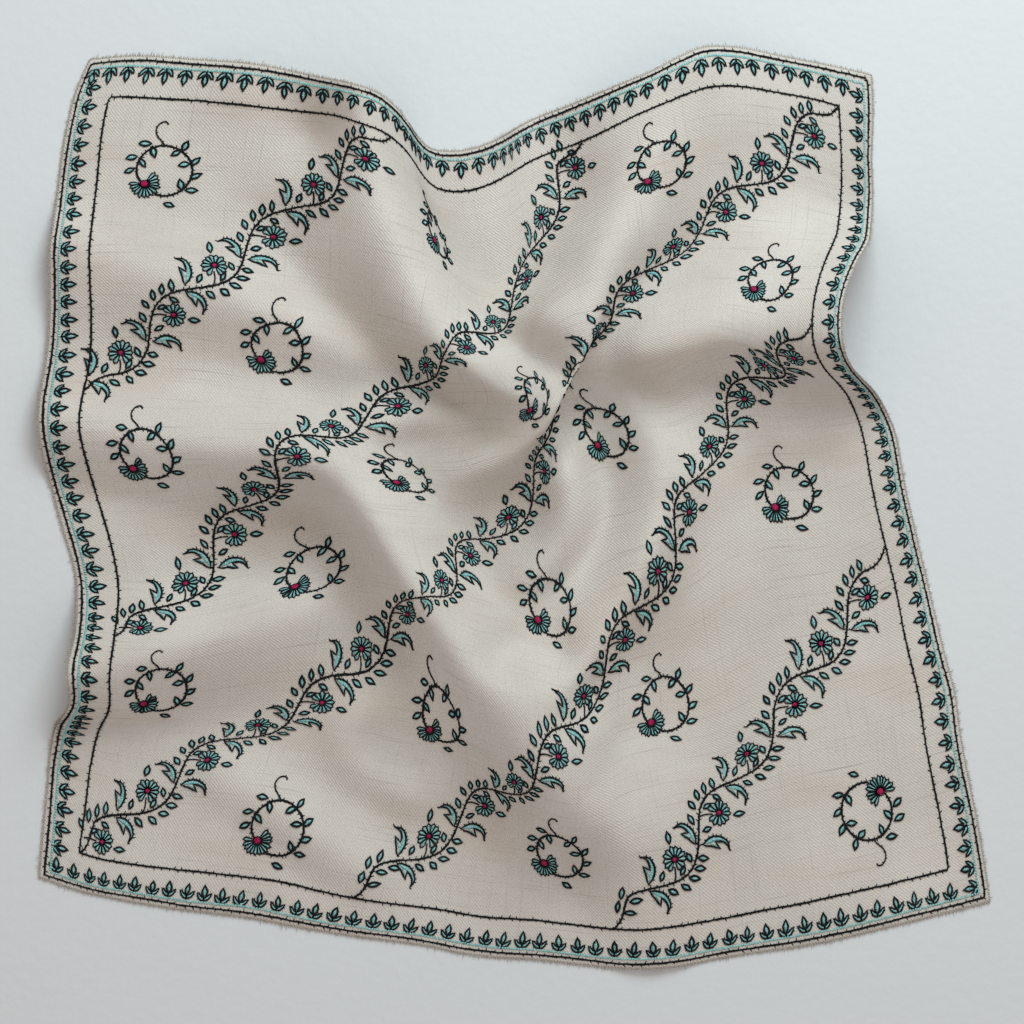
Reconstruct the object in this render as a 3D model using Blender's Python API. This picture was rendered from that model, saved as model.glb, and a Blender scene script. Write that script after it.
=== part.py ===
"""A pocket square of fine wool twill, 330 mm square, lying loosely rumpled on a flat surface.

The whole square is one sheet. Threads are named by where they lie on the flat cloth:
u runs along the weft, from -165 mm at the left hem to 165 mm at the right, and v along the
warp, from the bottom hem to the top. The tables say how the cloth lies, seen from above with
+X to the right and +Y away. Everything here is in millimetres until the mesh is made.
"""

import bpy
import numpy as np
from mathutils import Matrix, Vector

# Driving sizes
CUT_SIDE = 330.0
THICKNESS = 1.0
CELLS = 52
BENDING_RADIUS = 2.4
# The cloth lies over a board this far to each side, worked out in steps, on posts this far apart.
BOARD_SIDE = 180.0
BOARD_STEP = 1.5
POST_SPACING = 4.5
POST_GIVE = 1.0
LEVEL_SPACING = 20.0
LEVEL_CLEAR = 22.0
SETTLING = 0.8
LEAN_REACH = 5.0
EVENING_ROUNDS = 3
MM = 0.001

HALF_SIDE = CUT_SIDE / 2

# Colour of the undyed wool
WOOL = (0.62, 0.56, 0.49, 1.0)
WOOL_ROUGHNESS = 0.9

# Folds, seen from above: one row for each station along a crest, walked from the first row to the
# last. x, y and height of the crest, then how far off and how high the foot is on the walker's
# left, and the same on the right. A foot 0 off is left out.
FOLDS = {
    "collar front": (
        (-51, 152, 29, 20, 2, 40, 8),
        (-50, 139, 29, 17, 2, 36, 8),
        (-48, 126, 28, 14, 2, 0, 0),
        (-44, 112, 26, 12, 2, 0, 0),
        (-39, 98, 27, 11, 3, 0, 0),
        (-33, 85, 27, 10, 5, 0, 0),
        (-27, 72, 28, 10, 8, 0, 0),
        (-20, 60, 30, 10, 10, 0, 0),
        (-11, 50, 31, 12, 12, 0, 0),
        (-2, 43, 31, 13, 14, 0, 0),
    ),
    "collar back": (
        (-77, 116, 8, 0, 0, 18, 1),
        (-67, 101, 12, 0, 0, 17, 2),
        (-58, 88, 16, 0, 0, 15, 3),
        (-48, 78, 20, 0, 0, 14, 5),
        (-38, 66, 25, 0, 0, 13, 6),
        (-28, 56, 28, 0, 0, 13, 8),
        (-18, 47, 29, 0, 0, 12, 9),
        (-8, 40, 29, 0, 0, 13, 8),
    ),
    "collar right": (
        (64, 155, 19, 36, 4, 0, 0),
        (59, 138, 21, 30, 6, 0, 0),
        (53, 122, 23, 24, 8, 0, 0),
        (46, 105, 25, 16, 13, 0, 0),
        (39, 90, 29, 13, 17, 0, 0),
        (31, 77, 33, 12, 20, 0, 0),
        (19, 66, 36, 14, 20, 0, 0),
    ),
    "collar right, back": (
        (54, 155, 20, 0, 0, 52, 2),
        (47, 138, 21, 0, 0, 42, 2),
        (42, 123, 22, 0, 0, 24, 3),
        (34, 105, 24, 0, 0, 11, 4),
        (27, 90, 28, 0, 0, 10, 6),
        (19, 77, 32, 0, 0, 9, 8),
        (10, 66, 34, 0, 0, 8, 11),
    ),
    "collar tail": (
        (9, 54, 38, 15, 17, 8, 16),
        (3, 43, 38, 15, 13, 7, 17),
        (1, 32, 36, 12, 11, 7, 13),
        (0, 21, 27, 10, 9, 9, 8),
        (-9, 16, 20, 9, 7, 9, 7),
        (-20, 13, 12, 9, 6, 9, 6),
    ),
    "inner arc": (
        (19, 16, 21, 6, 8, 10, 12),
        (21, 5, 19, 8, 7, 11, 8),
        (20, -6, 17, 9, 6, 11, 6),
        (14, -16, 15, 10, 6, 10, 5),
        (5, -23, 14, 10, 9, 10, 6),
    ),
    "inner arm": (
        (-48, 29, 21, 12, 6, 9, 14),
        (-38, 33, 17, 11, 6, 9, 10),
        (-27, 34, 14, 10, 7, 9, 8),
        (-17, 31, 12, 8, 7, 7, 8),
    ),
    "right swell": (
        (122, 53, 32, 15, 2, 0, 0),
        (109, 54, 32, 15, 3, 0, 0),
        (98, 56, 30, 18, 5, 0, 0),
        (84, 57, 29, 19, 7, 0, 0),
        (68, 57, 30, 19, 9, 0, 0),
        (54, 55, 30, 17, 9, 0, 0),
        (43, 53, 28, 13, 8, 0, 0),
    ),
    "right swell, north": (
        (122, 81, 32, 0, 0, 20, 2),
        (109, 79, 32, 0, 0, 22, 3),
        (98, 75, 30, 0, 0, 30, 6),
        (84, 69, 30, 0, 0, 32, 8),
        (68, 63, 30, 0, 0, 30, 11),
        (54, 59, 30, 0, 0, 24, 13),
        (43, 56, 28, 0, 0, 16, 18),
    ),
    "bowl right": (
        (45, 35, 13, 26, 5, 15, 5),
        (49, 24, 17, 26, 5, 18, 5),
        (51, 10, 20, 22, 6, 18, 5),
        (50, -3, 22, 11, 10, 18, 4),
        (46, -16, 25, 8, 13, 18, 5),
        (40, -29, 27, 7, 15, 19, 7),
        (32, -42, 28, 7, 16, 22, 9),
        (23, -54, 29, 7, 18, 22, 11),
        (14, -64, 30, 8, 20, 24, 12),
    ),
    "bowl left": (
        (2, -66, 31, 35, 4, 24, 13),
        (-7, -58, 31, 35, 4, 24, 12),
        (-16, -50, 31, 29, 3, 24, 10),
        (-25, -39, 31, 19, 2, 22, 7),
        (-33, -28, 31, 15, 2, 20, 6),
        (-40, -16, 31, 15, 2, 19, 6),
        (-46, -5, 30, 15, 3, 19, 8),
        (-53, 5, 29, 15, 4, 20, 10),
        (-60, 14, 29, 17, 4, 16, 15),
        (-72, 20, 28, 20, 4, 18, 7),
        (-90, 22, 24, 24, 2, 19, 6),
        (-110, 24, 19, 24, 1, 17, 5),
        (-130, 27, 15, 22, 1, 16, 4),
        (-158, 32, 11, 20, 1, 15, 3),
    ),
    "bottom": (
        (2, -68, 31, 16, 27, 33, 5),
        (6, -79, 31, 20, 25, 27, 4),
        (10, -90, 29, 26, 19, 24, 2),
        (19, -99, 26, 28, 12, 28, 2),
        (30, -105, 22, 28, 8, 30, 2),
        (38, -113, 17, 26, 5, 26, 2),
        (42, -124, 11, 22, 3, 20, 2),
        (45, -138, 7, 18, 2, 18, 1),
        (46, -152, 4, 16, 1, 16, 0),
    ),
    "upper left": (
        (-158, 90, 8, 17, 1, 24, 3),
        (-140, 88, 11, 18, 1, 26, 3),
        (-118, 81, 13, 19, 1, 24, 4),
        (-98, 74, 13, 18, 3, 22, 4),
        (-80, 67, 14, 16, 5, 19, 4),
        (-65, 60, 13, 12, 6, 15, 6),
        (-53, 53, 11, 9, 7, 11, 8),
    ),
    "left swell": (
        (-165, -58, 22, 24, 1, 20, 1),
        (-140, -53, 20, 28, 1, 24, 1),
        (-118, -47, 21, 24, 1, 28, 1),
        (-100, -41, 20, 20, 1, 28, 2),
        (-84, -36, 17, 16, 2, 28, 3),
        (-68, -33, 12, 12, 3, 22, 4),
    ),
    "lower left": (
        (-104, -88, 3, 14, 0, 14, 0),
        (-90, -95, 6, 14, 1, 16, 0),
        (-76, -104, 7, 14, 2, 16, 0),
        (-62, -114, 7, 14, 3, 16, 0),
        (-48, -125, 5, 16, 0, 14, 0),
    ),
    "lower middle": (
        (-50, -66, 8, 10, 4, 10, 3),
        (-57, -74, 8, 12, 3, 12, 2),
        (-58, -83, 7, 13, 2, 10, 2),
        (-48, -90, 7, 12, 2, 10, 2),
        (-34, -97, 5, 9, 2, 9, 1),
    ),
}

# Where the collar leans over: x and y of its crest, and how far it leans in x and in y
LEANING = (
    (29, 80, 0, 0),
    (19, 66, 8, -4),
    (9, 54, 13, -6),
    (3, 43, 13, -6),
    (1, 32, 9, -4),
    (-2, 23, 0, 0),
)

# Where the two level hems lie: u, y of the top hem, y of the bottom hem
LEVEL_HEMS = (
    (-165, 155, -125),
    (-148, 156.3, -130.2),
    (-120, 155, -135.5),
    (-92, 152.8, -139),
    (-70, 149, -143),
    (-51, 145, -145.8),
    (-41, 141.5, -147),
    (-34, 136.5, -148),
    (-28, 129.5, -149),
    (-22, 125, -150.4),
    (-15, 123.8, -151.6),
    (-6, 124.2, -152.6),
    (6, 127.4, -153.2),
    (19, 133.4, -154.6),
    (38, 139.5, -156.2),
    (57, 145.5, -155.5),
    (72, 150.3, -152.7),
    (83, 155, -151),
    (94, 158.6, -149.6),
    (102, 158.9, -148.4),
    (128, 155.8, -142.6),
    (165, 149.8, -133.5),
)

# Where the two upright hems lie: v, x of the left hem, x of the right hem
UPRIGHT_HEMS = (
    (-165, -162, 163.8),
    (-130, -159.3, 159),
    (-112, -158, 155.8),
    (-104, -156.5, 154.5),
    (-95, -151.5, 153.2),
    (-82, -151.8, 151.8),
    (-65, -149, 148),
    (-45, -149.4, 143.8),
    (-20, -155, 138.8),
    (0, -159.3, 134.8),
    (12, -161.4, 133),
    (25, -161.7, 130.5),
    (38, -160.2, 124.5),
    (50, -159, 115),
    (57, -158.6, 112.6),
    (64, -158.2, 112),
    (76, -158, 113),
    (90, -157.8, 118),
    (97, -157, 121.8),
    (105, -156.2, 123),
    (135, -152.8, 123.2),
    (150, -149.8, 123.4),
    (165, -144.5, 123.2),
)


def smooth_through(stations, values, where):
    """A smooth curve through the values at their stations, read off at each place in where."""
    stations = np.asarray(stations, float)
    values = np.asarray(values, float)
    slopes = np.gradient(values, stations)
    left = np.clip(np.searchsorted(stations, where) - 1, 0, len(stations) - 2)
    span = stations[left + 1] - stations[left]
    t = (where - stations[left]) / span
    start = values[left] * (1 + 2 * t) * (1 - t) ** 2 + slopes[left] * span * t * (1 - t) ** 2
    end = values[left + 1] * t * t * (3 - 2 * t) - slopes[left + 1] * span * t * t * (1 - t)
    return start + end


def away(places, posts):
    """The distance from each place to each post, in plan."""
    return np.linalg.norm(places[:, None] - posts[None, :, :2], axis=-1)


def walked(rows, spacing):
    """The rows of a table that begin with x and y, smoothly filled in to about one spacing apart."""
    rows = np.array(rows, float)
    steps = np.maximum(np.linalg.norm(np.diff(rows[:, :2], axis=0), axis=1) // spacing, 1).astype(int)
    places = np.concatenate([row + np.arange(count) / count for row, count in enumerate(steps)] + [[len(steps)]])
    number = np.arange(len(rows))
    return np.stack([smooth_through(number, column, places) for column in rows.T], axis=1)


def fold_posts():
    """Posts that hold the cloth up: x, y and height every POST_SPACING or so along each crest and
    along its feet, and a few on the level board wherever no fold is near."""
    posts = []
    for rows in FOLDS.values():
        crest = walked(rows, POST_SPACING)
        ahead = np.gradient(crest[:, :2], axis=0)
        ahead /= np.linalg.norm(ahead, axis=1, keepdims=True)
        left = np.stack([-ahead[:, 1], ahead[:, 0]], axis=1)
        posts.append(crest[:, :3])
        for side, reach, foot in ((1, crest[:, 3:4], crest[:, 4:5]), (-1, crest[:, 5:6], crest[:, 6:7])):
            feet = np.hstack([crest[:, :2] + side * reach * left, foot])
            posts.append(feet[reach[:, 0] > 0])
    posts = np.concatenate(posts)
    ticks = np.arange(-BOARD_SIDE, BOARD_SIDE + 1, LEVEL_SPACING)
    level = np.stack(np.meshgrid(ticks, ticks), axis=-1).reshape(-1, 2)
    level = level[away(level, posts).min(axis=1) > LEVEL_CLEAR]
    return np.vstack([posts, np.pad(level, ((0, 0), (0, 1)))])


def soften(field, radius):
    """Rounds a field on the board off over a bending radius: the mean of the neighbours, each
    weighted by the bell curve of its distance."""
    sigma = radius / BOARD_STEP
    most = int(3 * sigma)
    weights = np.exp(-0.5 * (np.arange(-most, most + 1) / sigma) ** 2)
    weights /= weights.sum()
    for axis in (0, 1):
        count = field.shape[axis]
        edges = [(most, most) if side == axis else (0, 0) for side in (0, 1)]
        wide = np.pad(field, edges, mode="edge")
        field = sum(w * np.take(wide, range(i, i + count), axis) for i, w in enumerate(weights))
    return field


def fold_board():
    """The cloth's lean in x, its lean in y and its height, at every step of the board. The height
    is a constant less the sum of weight times distance over the posts, with the weights that bring
    it to every post's height, or nearly, as POST_GIVE lets it pass a post by a little. It can't go
    under the board. The lean is the most that any step along the leaning crest gives, each fading
    with the bell curve of its distance."""
    posts = fold_posts()
    count = len(posts)
    system = np.ones((count + 1, count + 1))
    system[:count, :count] = POST_GIVE * np.eye(count) - away(posts[:, :2], posts)
    system[count, count] = 0
    weights = np.linalg.solve(system, np.append(posts[:, 2], 0))
    ticks = np.arange(-BOARD_SIDE, BOARD_SIDE + BOARD_STEP / 2, BOARD_STEP)
    board = np.stack(np.meshgrid(ticks, ticks, indexing="ij"), axis=-1)
    height = np.stack([weights[count] - away(row, posts) @ weights[:count] for row in board])
    leaning = walked(LEANING, BOARD_STEP)
    near = np.stack([np.exp(-0.5 * (away(row, leaning) / LEAN_REACH) ** 2) for row in board])
    lean_x, lean_y = (near * leaning[:, 2]).max(axis=-1), (near * leaning[:, 3]).min(axis=-1)
    fields = (lean_x, lean_y, np.maximum(height - SETTLING, 0))
    return np.dstack([soften(field, BENDING_RADIUS) for field in fields])


def read_off(field, places, side, step):
    """A field (n, n, values) on a square from -side to side, at each of the places: the four
    nearest crossings, each weighted by its nearness."""
    cell = (places + side) / step
    first = np.clip(np.floor(cell), 0, len(field) - 2).astype(int)
    share = cell - first
    i, j = first[..., 0], first[..., 1]
    s, t = share[..., 0:1], share[..., 1:2]
    near = field[i, j] * (1 - t) + field[i, j + 1] * t
    far = field[i + 1, j] * (1 - t) + field[i + 1, j + 1] * t
    return near * (1 - s) + far * s


def lie(plan, board):
    """Where the cloth lies: its places in plan, leant over, and its height."""
    fold = read_off(board, plan, BOARD_SIDE, BOARD_STEP)
    return np.concatenate([plan + fold[..., :2], fold[..., 2:]], axis=-1)


def between_hems(threads):
    """Where the crossings of the threads would lie on a level board: at even shares of the way
    from hem to hem."""
    hems = np.array(LEVEL_HEMS, float)
    top, bottom = (smooth_through(hems[:, 0], hems[:, column], threads) for column in (1, 2))
    hems = np.array(UPRIGHT_HEMS, float)
    left, right = (smooth_through(hems[:, 0], hems[:, column], threads) for column in (1, 2))
    share = (threads + HALF_SIDE) / CUT_SIDE
    x = left[None, :] + (right - left)[None, :] * share[:, None]
    y = bottom[:, None] + (top - bottom)[:, None] * share[None, :]
    return np.stack([x, y], axis=-1)


def evened(plan, board):
    """Slides the crossings along their threads until they are evenly spaced on each thread, which
    puts more of them where the cloth is steep."""
    for turn in range(2 * EVENING_ROUNDS):
        laid = lie(plan, board)
        run = np.pad(np.cumsum(np.linalg.norm(np.diff(laid, axis=0), axis=-1), axis=0), ((1, 0), (0, 0)))
        share = np.linspace(0, 1, len(plan))
        plan = np.stack(
            [
                np.stack([np.interp(share * along[-1], along, column) for column in line.T], axis=1)
                for along, line in zip(run.T, plan.transpose(1, 0, 2))
            ]
        )
    return plan


def cloth_mesh():
    """The underside of the cloth: a grid of CELLS by CELLS, each cell cut in two along whichever
    diagonal keeps nearer to the folded cloth in its middle."""
    board = fold_board()
    plan = evened(between_hems(np.linspace(-HALF_SIDE, HALF_SIDE, CELLS + 1)), board)
    points = lie(plan, board)
    centre = (plan[:-1, :-1] + plan[1:, :-1] + plan[1:, 1:] + plan[:-1, 1:]) / 4
    centre = lie(centre, board)[..., 2]
    rising = np.abs((points[:-1, :-1, 2] + points[1:, 1:, 2]) / 2 - centre).ravel()
    falling = np.abs((points[1:, :-1, 2] + points[:-1, 1:, 2]) / 2 - centre).ravel()

    row = np.arange(CELLS)
    first = (row[:, None] * (CELLS + 1) + row[None, :]).ravel()
    corners = np.stack([first, first + CELLS + 1, first + CELLS + 2, first + 1], axis=1)
    corners = np.where((rising <= falling)[:, None], corners, np.roll(corners, -1, axis=1))
    faces = np.concatenate([corners[:, [0, 1, 2]], corners[:, [0, 2, 3]]])
    mesh = bpy.data.meshes.new("cloth")
    mesh.from_pydata((points.reshape(-1, 3) * MM).tolist(), [], faces.tolist())
    mesh.update()
    mesh.shade_smooth()
    return mesh


def wool():
    """Undyed fine wool."""
    material = bpy.data.materials.new("wool")
    material.use_nodes = True
    shader = material.node_tree.nodes["Principled BSDF"]
    shader.inputs["Base Color"].default_value = WOOL
    shader.inputs["Roughness"].default_value = WOOL_ROUGHNESS
    shader.inputs["Metallic"].default_value = 0.0
    return material


def centre_on_origin(cloth):
    """Moves the mesh so that the middle of the finished cloth's box is over the origin."""
    finished = cloth.evaluated_get(bpy.context.evaluated_depsgraph_get())
    corners = np.array([tuple(corner) for corner in finished.bound_box])
    middle = (corners.min(axis=0) + corners.max(axis=0)) / 2
    cloth.data.transform(Matrix.Translation(Vector((-middle[0], -middle[1], 0))))


def build():
    for obj in list(bpy.data.objects):
        bpy.data.objects.remove(obj, do_unlink=True)
    cloth = bpy.data.objects.new("cloth", cloth_mesh())
    bpy.context.scene.collection.objects.link(cloth)
    cloth.data.materials.append(wool())
    thick = cloth.modifiers.new("thickness", "SOLIDIFY")
    thick.thickness = THICKNESS * MM
    thick.offset = 1.0
    thick.use_even_offset = False
    centre_on_origin(cloth)


build()
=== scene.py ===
# %% [markdown]
# # An embroidered wool pocket square
#
# A pocket square is one small sheet of fine cloth. This one is undyed wool twill, and it is worked
# all over with the needle: five slanting flower vines, eighteen little wreaths between them, and a
# border of three-leaved sprigs held between two black lines. It lies where it was dropped, in a
# few soft folds, and is seen from straight above.
#
# Cloth like this could be made with a simulation, which falls into folds of its own choosing. Here
# the folds are known, so the sheet is laid instead, with a short table for each fold. The
# stitches are then drawn on the flat cloth, as an embroiderer would draw them, and one function
# carries every point of them onto the laid cloth.

import bpy
import numpy as np
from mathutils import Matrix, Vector


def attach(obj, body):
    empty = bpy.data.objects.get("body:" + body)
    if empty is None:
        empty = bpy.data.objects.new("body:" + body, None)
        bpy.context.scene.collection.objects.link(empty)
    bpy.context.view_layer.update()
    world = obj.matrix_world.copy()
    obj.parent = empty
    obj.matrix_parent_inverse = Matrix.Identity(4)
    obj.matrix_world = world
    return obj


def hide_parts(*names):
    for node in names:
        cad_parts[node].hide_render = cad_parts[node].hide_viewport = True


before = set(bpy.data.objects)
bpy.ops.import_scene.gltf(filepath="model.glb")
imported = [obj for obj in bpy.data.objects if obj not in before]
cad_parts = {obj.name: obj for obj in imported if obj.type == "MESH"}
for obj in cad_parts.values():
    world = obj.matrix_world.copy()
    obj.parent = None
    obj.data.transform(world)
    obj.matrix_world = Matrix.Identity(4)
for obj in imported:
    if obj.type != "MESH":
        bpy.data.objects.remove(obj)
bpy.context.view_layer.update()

MM = 0.001

# %% [markdown]
# ## How the cloth lies
#
# A thread of the cloth is named by where it lies while the cloth is flat: u runs along the weft
# and v along the warp, both from -165 to 165 mm. A fold is a crest that walks across the view from
# above. Each row of its table is one station of the walk: where it is, how high the cloth stands,
# and how far off and how high the foot of the flank is on either side.
#
# Posts stand along every crest and every foot, and the cloth is hung over them like a tent. Then it
# is rounded off, because wool won't take a sharp bend. Two tables say where the hems lie, a third
# says where the threads meet them, and the flowers of the vines pin the threads in between. Last,
# the threads slide over the folds until they are about as far apart as they were woven, which
# crowds them where the cloth is steep.

# %% Sizes and tables of the laid cloth
CUT_SIDE = 330.0
THREAD_SPACING = 1.5
HALF_SIDE = CUT_SIDE / 2
BENDING_RADIUS = 2.4
# The cloth lies over a board this far to each side, worked out in steps, on posts this far apart.
BOARD_SIDE = 180.0
BOARD_STEP = 1.5
POST_SPACING = 4.5
POST_GIVE = 1.0
# Level posts stand this far apart, and at least this far from every fold's posts.
LEVEL_SPACING = 20.0
LEVEL_CLEAR = 22.0
# Cloth this little above the board sinks onto it.
SETTLING = 0.8
LEAN_REACH = 5.0
EVENING_ROUNDS = 6

# Folds, seen from above: one row for each station along a crest, walked from the first row to the
# last. x, y and height of the crest, then how far off and how high the foot is on the walker's
# left, and the same on the right. A foot 0 off is left out.
FOLDS = {
    "collar front": (
        (-51, 152, 29, 20, 2, 40, 8),
        (-50, 139, 29, 17, 2, 36, 8),
        (-48, 126, 28, 14, 2, 0, 0),
        (-44, 112, 26, 12, 2, 0, 0),
        (-39, 98, 27, 11, 3, 0, 0),
        (-33, 85, 27, 10, 5, 0, 0),
        (-27, 72, 28, 10, 8, 0, 0),
        (-20, 60, 30, 10, 10, 0, 0),
        (-11, 50, 31, 12, 12, 0, 0),
        (-2, 43, 31, 13, 14, 0, 0),
    ),
    "collar back": (
        (-77, 116, 8, 0, 0, 18, 1),
        (-67, 101, 12, 0, 0, 17, 2),
        (-58, 88, 16, 0, 0, 15, 3),
        (-48, 78, 20, 0, 0, 14, 5),
        (-38, 66, 25, 0, 0, 13, 6),
        (-28, 56, 28, 0, 0, 13, 8),
        (-18, 47, 29, 0, 0, 12, 9),
        (-8, 40, 29, 0, 0, 13, 8),
    ),
    "collar right": (
        (64, 155, 19, 36, 4, 0, 0),
        (59, 138, 21, 30, 6, 0, 0),
        (53, 122, 23, 24, 8, 0, 0),
        (46, 105, 25, 16, 13, 0, 0),
        (39, 90, 29, 13, 17, 0, 0),
        (31, 77, 33, 12, 20, 0, 0),
        (19, 66, 36, 14, 20, 0, 0),
    ),
    "collar right, back": (
        (54, 155, 20, 0, 0, 52, 2),
        (47, 138, 21, 0, 0, 42, 2),
        (42, 123, 22, 0, 0, 24, 3),
        (34, 105, 24, 0, 0, 11, 4),
        (27, 90, 28, 0, 0, 10, 6),
        (19, 77, 32, 0, 0, 9, 8),
        (10, 66, 34, 0, 0, 8, 11),
    ),
    "collar tail": (
        (9, 54, 38, 15, 17, 8, 16),
        (3, 43, 38, 15, 13, 7, 17),
        (1, 32, 36, 12, 11, 7, 13),
        (0, 21, 27, 10, 9, 9, 8),
        (-9, 16, 20, 9, 7, 9, 7),
        (-20, 13, 12, 9, 6, 9, 6),
    ),
    "inner arc": (
        (19, 16, 21, 6, 8, 10, 12),
        (21, 5, 19, 8, 7, 11, 8),
        (20, -6, 17, 9, 6, 11, 6),
        (14, -16, 15, 10, 6, 10, 5),
        (5, -23, 14, 10, 9, 10, 6),
    ),
    "inner arm": (
        (-48, 29, 21, 12, 6, 9, 14),
        (-38, 33, 17, 11, 6, 9, 10),
        (-27, 34, 14, 10, 7, 9, 8),
        (-17, 31, 12, 8, 7, 7, 8),
    ),
    "right swell": (
        (122, 53, 32, 15, 2, 0, 0),
        (109, 54, 32, 15, 3, 0, 0),
        (98, 56, 30, 18, 5, 0, 0),
        (84, 57, 29, 19, 7, 0, 0),
        (68, 57, 30, 19, 9, 0, 0),
        (54, 55, 30, 17, 9, 0, 0),
        (43, 53, 28, 13, 8, 0, 0),
    ),
    "right swell, north": (
        (122, 81, 32, 0, 0, 20, 2),
        (109, 79, 32, 0, 0, 22, 3),
        (98, 75, 30, 0, 0, 30, 6),
        (84, 69, 30, 0, 0, 32, 8),
        (68, 63, 30, 0, 0, 30, 11),
        (54, 59, 30, 0, 0, 24, 13),
        (43, 56, 28, 0, 0, 16, 18),
    ),
    "bowl right": (
        (45, 35, 13, 26, 5, 15, 5),
        (49, 24, 17, 26, 5, 18, 5),
        (51, 10, 20, 22, 6, 18, 5),
        (50, -3, 22, 11, 10, 18, 4),
        (46, -16, 25, 8, 13, 18, 5),
        (40, -29, 27, 7, 15, 19, 7),
        (32, -42, 28, 7, 16, 22, 9),
        (23, -54, 29, 7, 18, 22, 11),
        (14, -64, 30, 8, 20, 24, 12),
    ),
    "bowl left": (
        (2, -66, 31, 35, 4, 24, 13),
        (-7, -58, 31, 35, 4, 24, 12),
        (-16, -50, 31, 29, 3, 24, 10),
        (-25, -39, 31, 19, 2, 22, 7),
        (-33, -28, 31, 15, 2, 20, 6),
        (-40, -16, 31, 15, 2, 19, 6),
        (-46, -5, 30, 15, 3, 19, 8),
        (-53, 5, 29, 15, 4, 20, 10),
        (-60, 14, 29, 17, 4, 16, 15),
        (-72, 20, 28, 20, 4, 18, 7),
        (-90, 22, 24, 24, 2, 19, 6),
        (-110, 24, 19, 24, 1, 17, 5),
        (-130, 27, 15, 22, 1, 16, 4),
        (-158, 32, 11, 20, 1, 15, 3),
    ),
    "bottom": (
        (2, -68, 31, 16, 27, 33, 5),
        (6, -79, 31, 20, 25, 27, 4),
        (10, -90, 29, 26, 19, 24, 2),
        (19, -99, 26, 28, 12, 28, 2),
        (30, -105, 22, 28, 8, 30, 2),
        (38, -113, 17, 26, 5, 26, 2),
        (42, -124, 11, 22, 3, 20, 2),
        (45, -138, 7, 18, 2, 18, 1),
        (46, -152, 4, 16, 1, 16, 0),
    ),
    "upper left": (
        (-158, 90, 8, 17, 1, 24, 3),
        (-140, 88, 11, 18, 1, 26, 3),
        (-118, 81, 13, 19, 1, 24, 4),
        (-98, 74, 13, 18, 3, 22, 4),
        (-80, 67, 14, 16, 5, 19, 4),
        (-65, 60, 13, 12, 6, 15, 6),
        (-53, 53, 11, 9, 7, 11, 8),
    ),
    "left swell": (
        (-165, -58, 22, 24, 1, 20, 1),
        (-140, -53, 20, 28, 1, 24, 1),
        (-118, -47, 21, 24, 1, 28, 1),
        (-100, -41, 20, 20, 1, 28, 2),
        (-84, -36, 17, 16, 2, 28, 3),
        (-68, -33, 12, 12, 3, 22, 4),
    ),
    "lower left": (
        (-104, -88, 3, 14, 0, 14, 0),
        (-90, -95, 6, 14, 1, 16, 0),
        (-76, -104, 7, 14, 2, 16, 0),
        (-62, -114, 7, 14, 3, 16, 0),
        (-48, -125, 5, 16, 0, 14, 0),
    ),
    "lower middle": (
        (-50, -66, 8, 10, 4, 10, 3),
        (-57, -74, 8, 12, 3, 12, 2),
        (-58, -83, 7, 13, 2, 10, 2),
        (-48, -90, 7, 12, 2, 10, 2),
        (-34, -97, 5, 9, 2, 9, 1),
    ),
}

# Where the collar leans over: x and y of its crest, and how far it leans in x and in y
LEANING = (
    (29, 80, 0, 0),
    (19, 66, 8, -4),
    (9, 54, 13, -6),
    (3, 43, 13, -6),
    (1, 32, 9, -4),
    (-2, 23, 0, 0),
)

# Where the two level hems lie: u, y of the top hem, y of the bottom hem
LEVEL_HEMS = (
    (-165, 155, -125),
    (-148, 156.3, -130.2),
    (-120, 155, -135.5),
    (-92, 152.8, -139),
    (-70, 149, -143),
    (-51, 145, -145.8),
    (-41, 141.5, -147),
    (-34, 136.5, -148),
    (-28, 129.5, -149),
    (-22, 125, -150.4),
    (-15, 123.8, -151.6),
    (-6, 124.2, -152.6),
    (6, 127.4, -153.2),
    (19, 133.4, -154.6),
    (38, 139.5, -156.2),
    (57, 145.5, -155.5),
    (72, 150.3, -152.7),
    (83, 155, -151),
    (94, 158.6, -149.6),
    (102, 158.9, -148.4),
    (128, 155.8, -142.6),
    (165, 149.8, -133.5),
)

# Where the two upright hems lie: v, x of the left hem, x of the right hem
UPRIGHT_HEMS = (
    (-165, -162, 163.8),
    (-130, -159.3, 159),
    (-112, -158, 155.8),
    (-104, -156.5, 154.5),
    (-95, -151.5, 153.2),
    (-82, -151.8, 151.8),
    (-65, -149, 148),
    (-45, -149.4, 143.8),
    (-20, -155, 138.8),
    (0, -159.3, 134.8),
    (12, -161.4, 133),
    (25, -161.7, 130.5),
    (38, -160.2, 124.5),
    (50, -159, 115),
    (57, -158.6, 112.6),
    (64, -158.2, 112),
    (76, -158, 113),
    (90, -157.8, 118),
    (97, -157, 121.8),
    (105, -156.2, 123),
    (135, -152.8, 123.2),
    (150, -149.8, 123.4),
    (165, -144.5, 123.2),
)

# How far along each hem the border's sprigs have come: mm on the flat cloth, and where that is seen,
# across the view for the top and bottom hems, and down it for the left and right hems
HEM_STATIONS = {
    "top": (
        (-165, 88), (-160.5, 99), (-64.5, 370), (-45.5, 403), (-19.5, 424), (-1, 476), (6, 492), (31, 522),
        (57, 581), (153, 839), (165, 873),
    ),
    "bottom": ((-165, 37), (-159.5, 55), (-134, 116), (-7.5, 482), (150.5, 952), (165, 992)),
    "left": (
        (-165, 879), (-152.5, 842), (-114, 737), (-76.5, 698), (-63.5, 660), (-56.5, 647), (-37.5, 619),
        (-12, 554), (64.5, 340), (155, 88), (165, 57),
    ),
    "right": (
        (-165, 903), (-159.5, 886), (10.5, 402), (45.5, 360), (78, 275), (112, 222), (157, 99), (165, 73),
    ),
}

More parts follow.
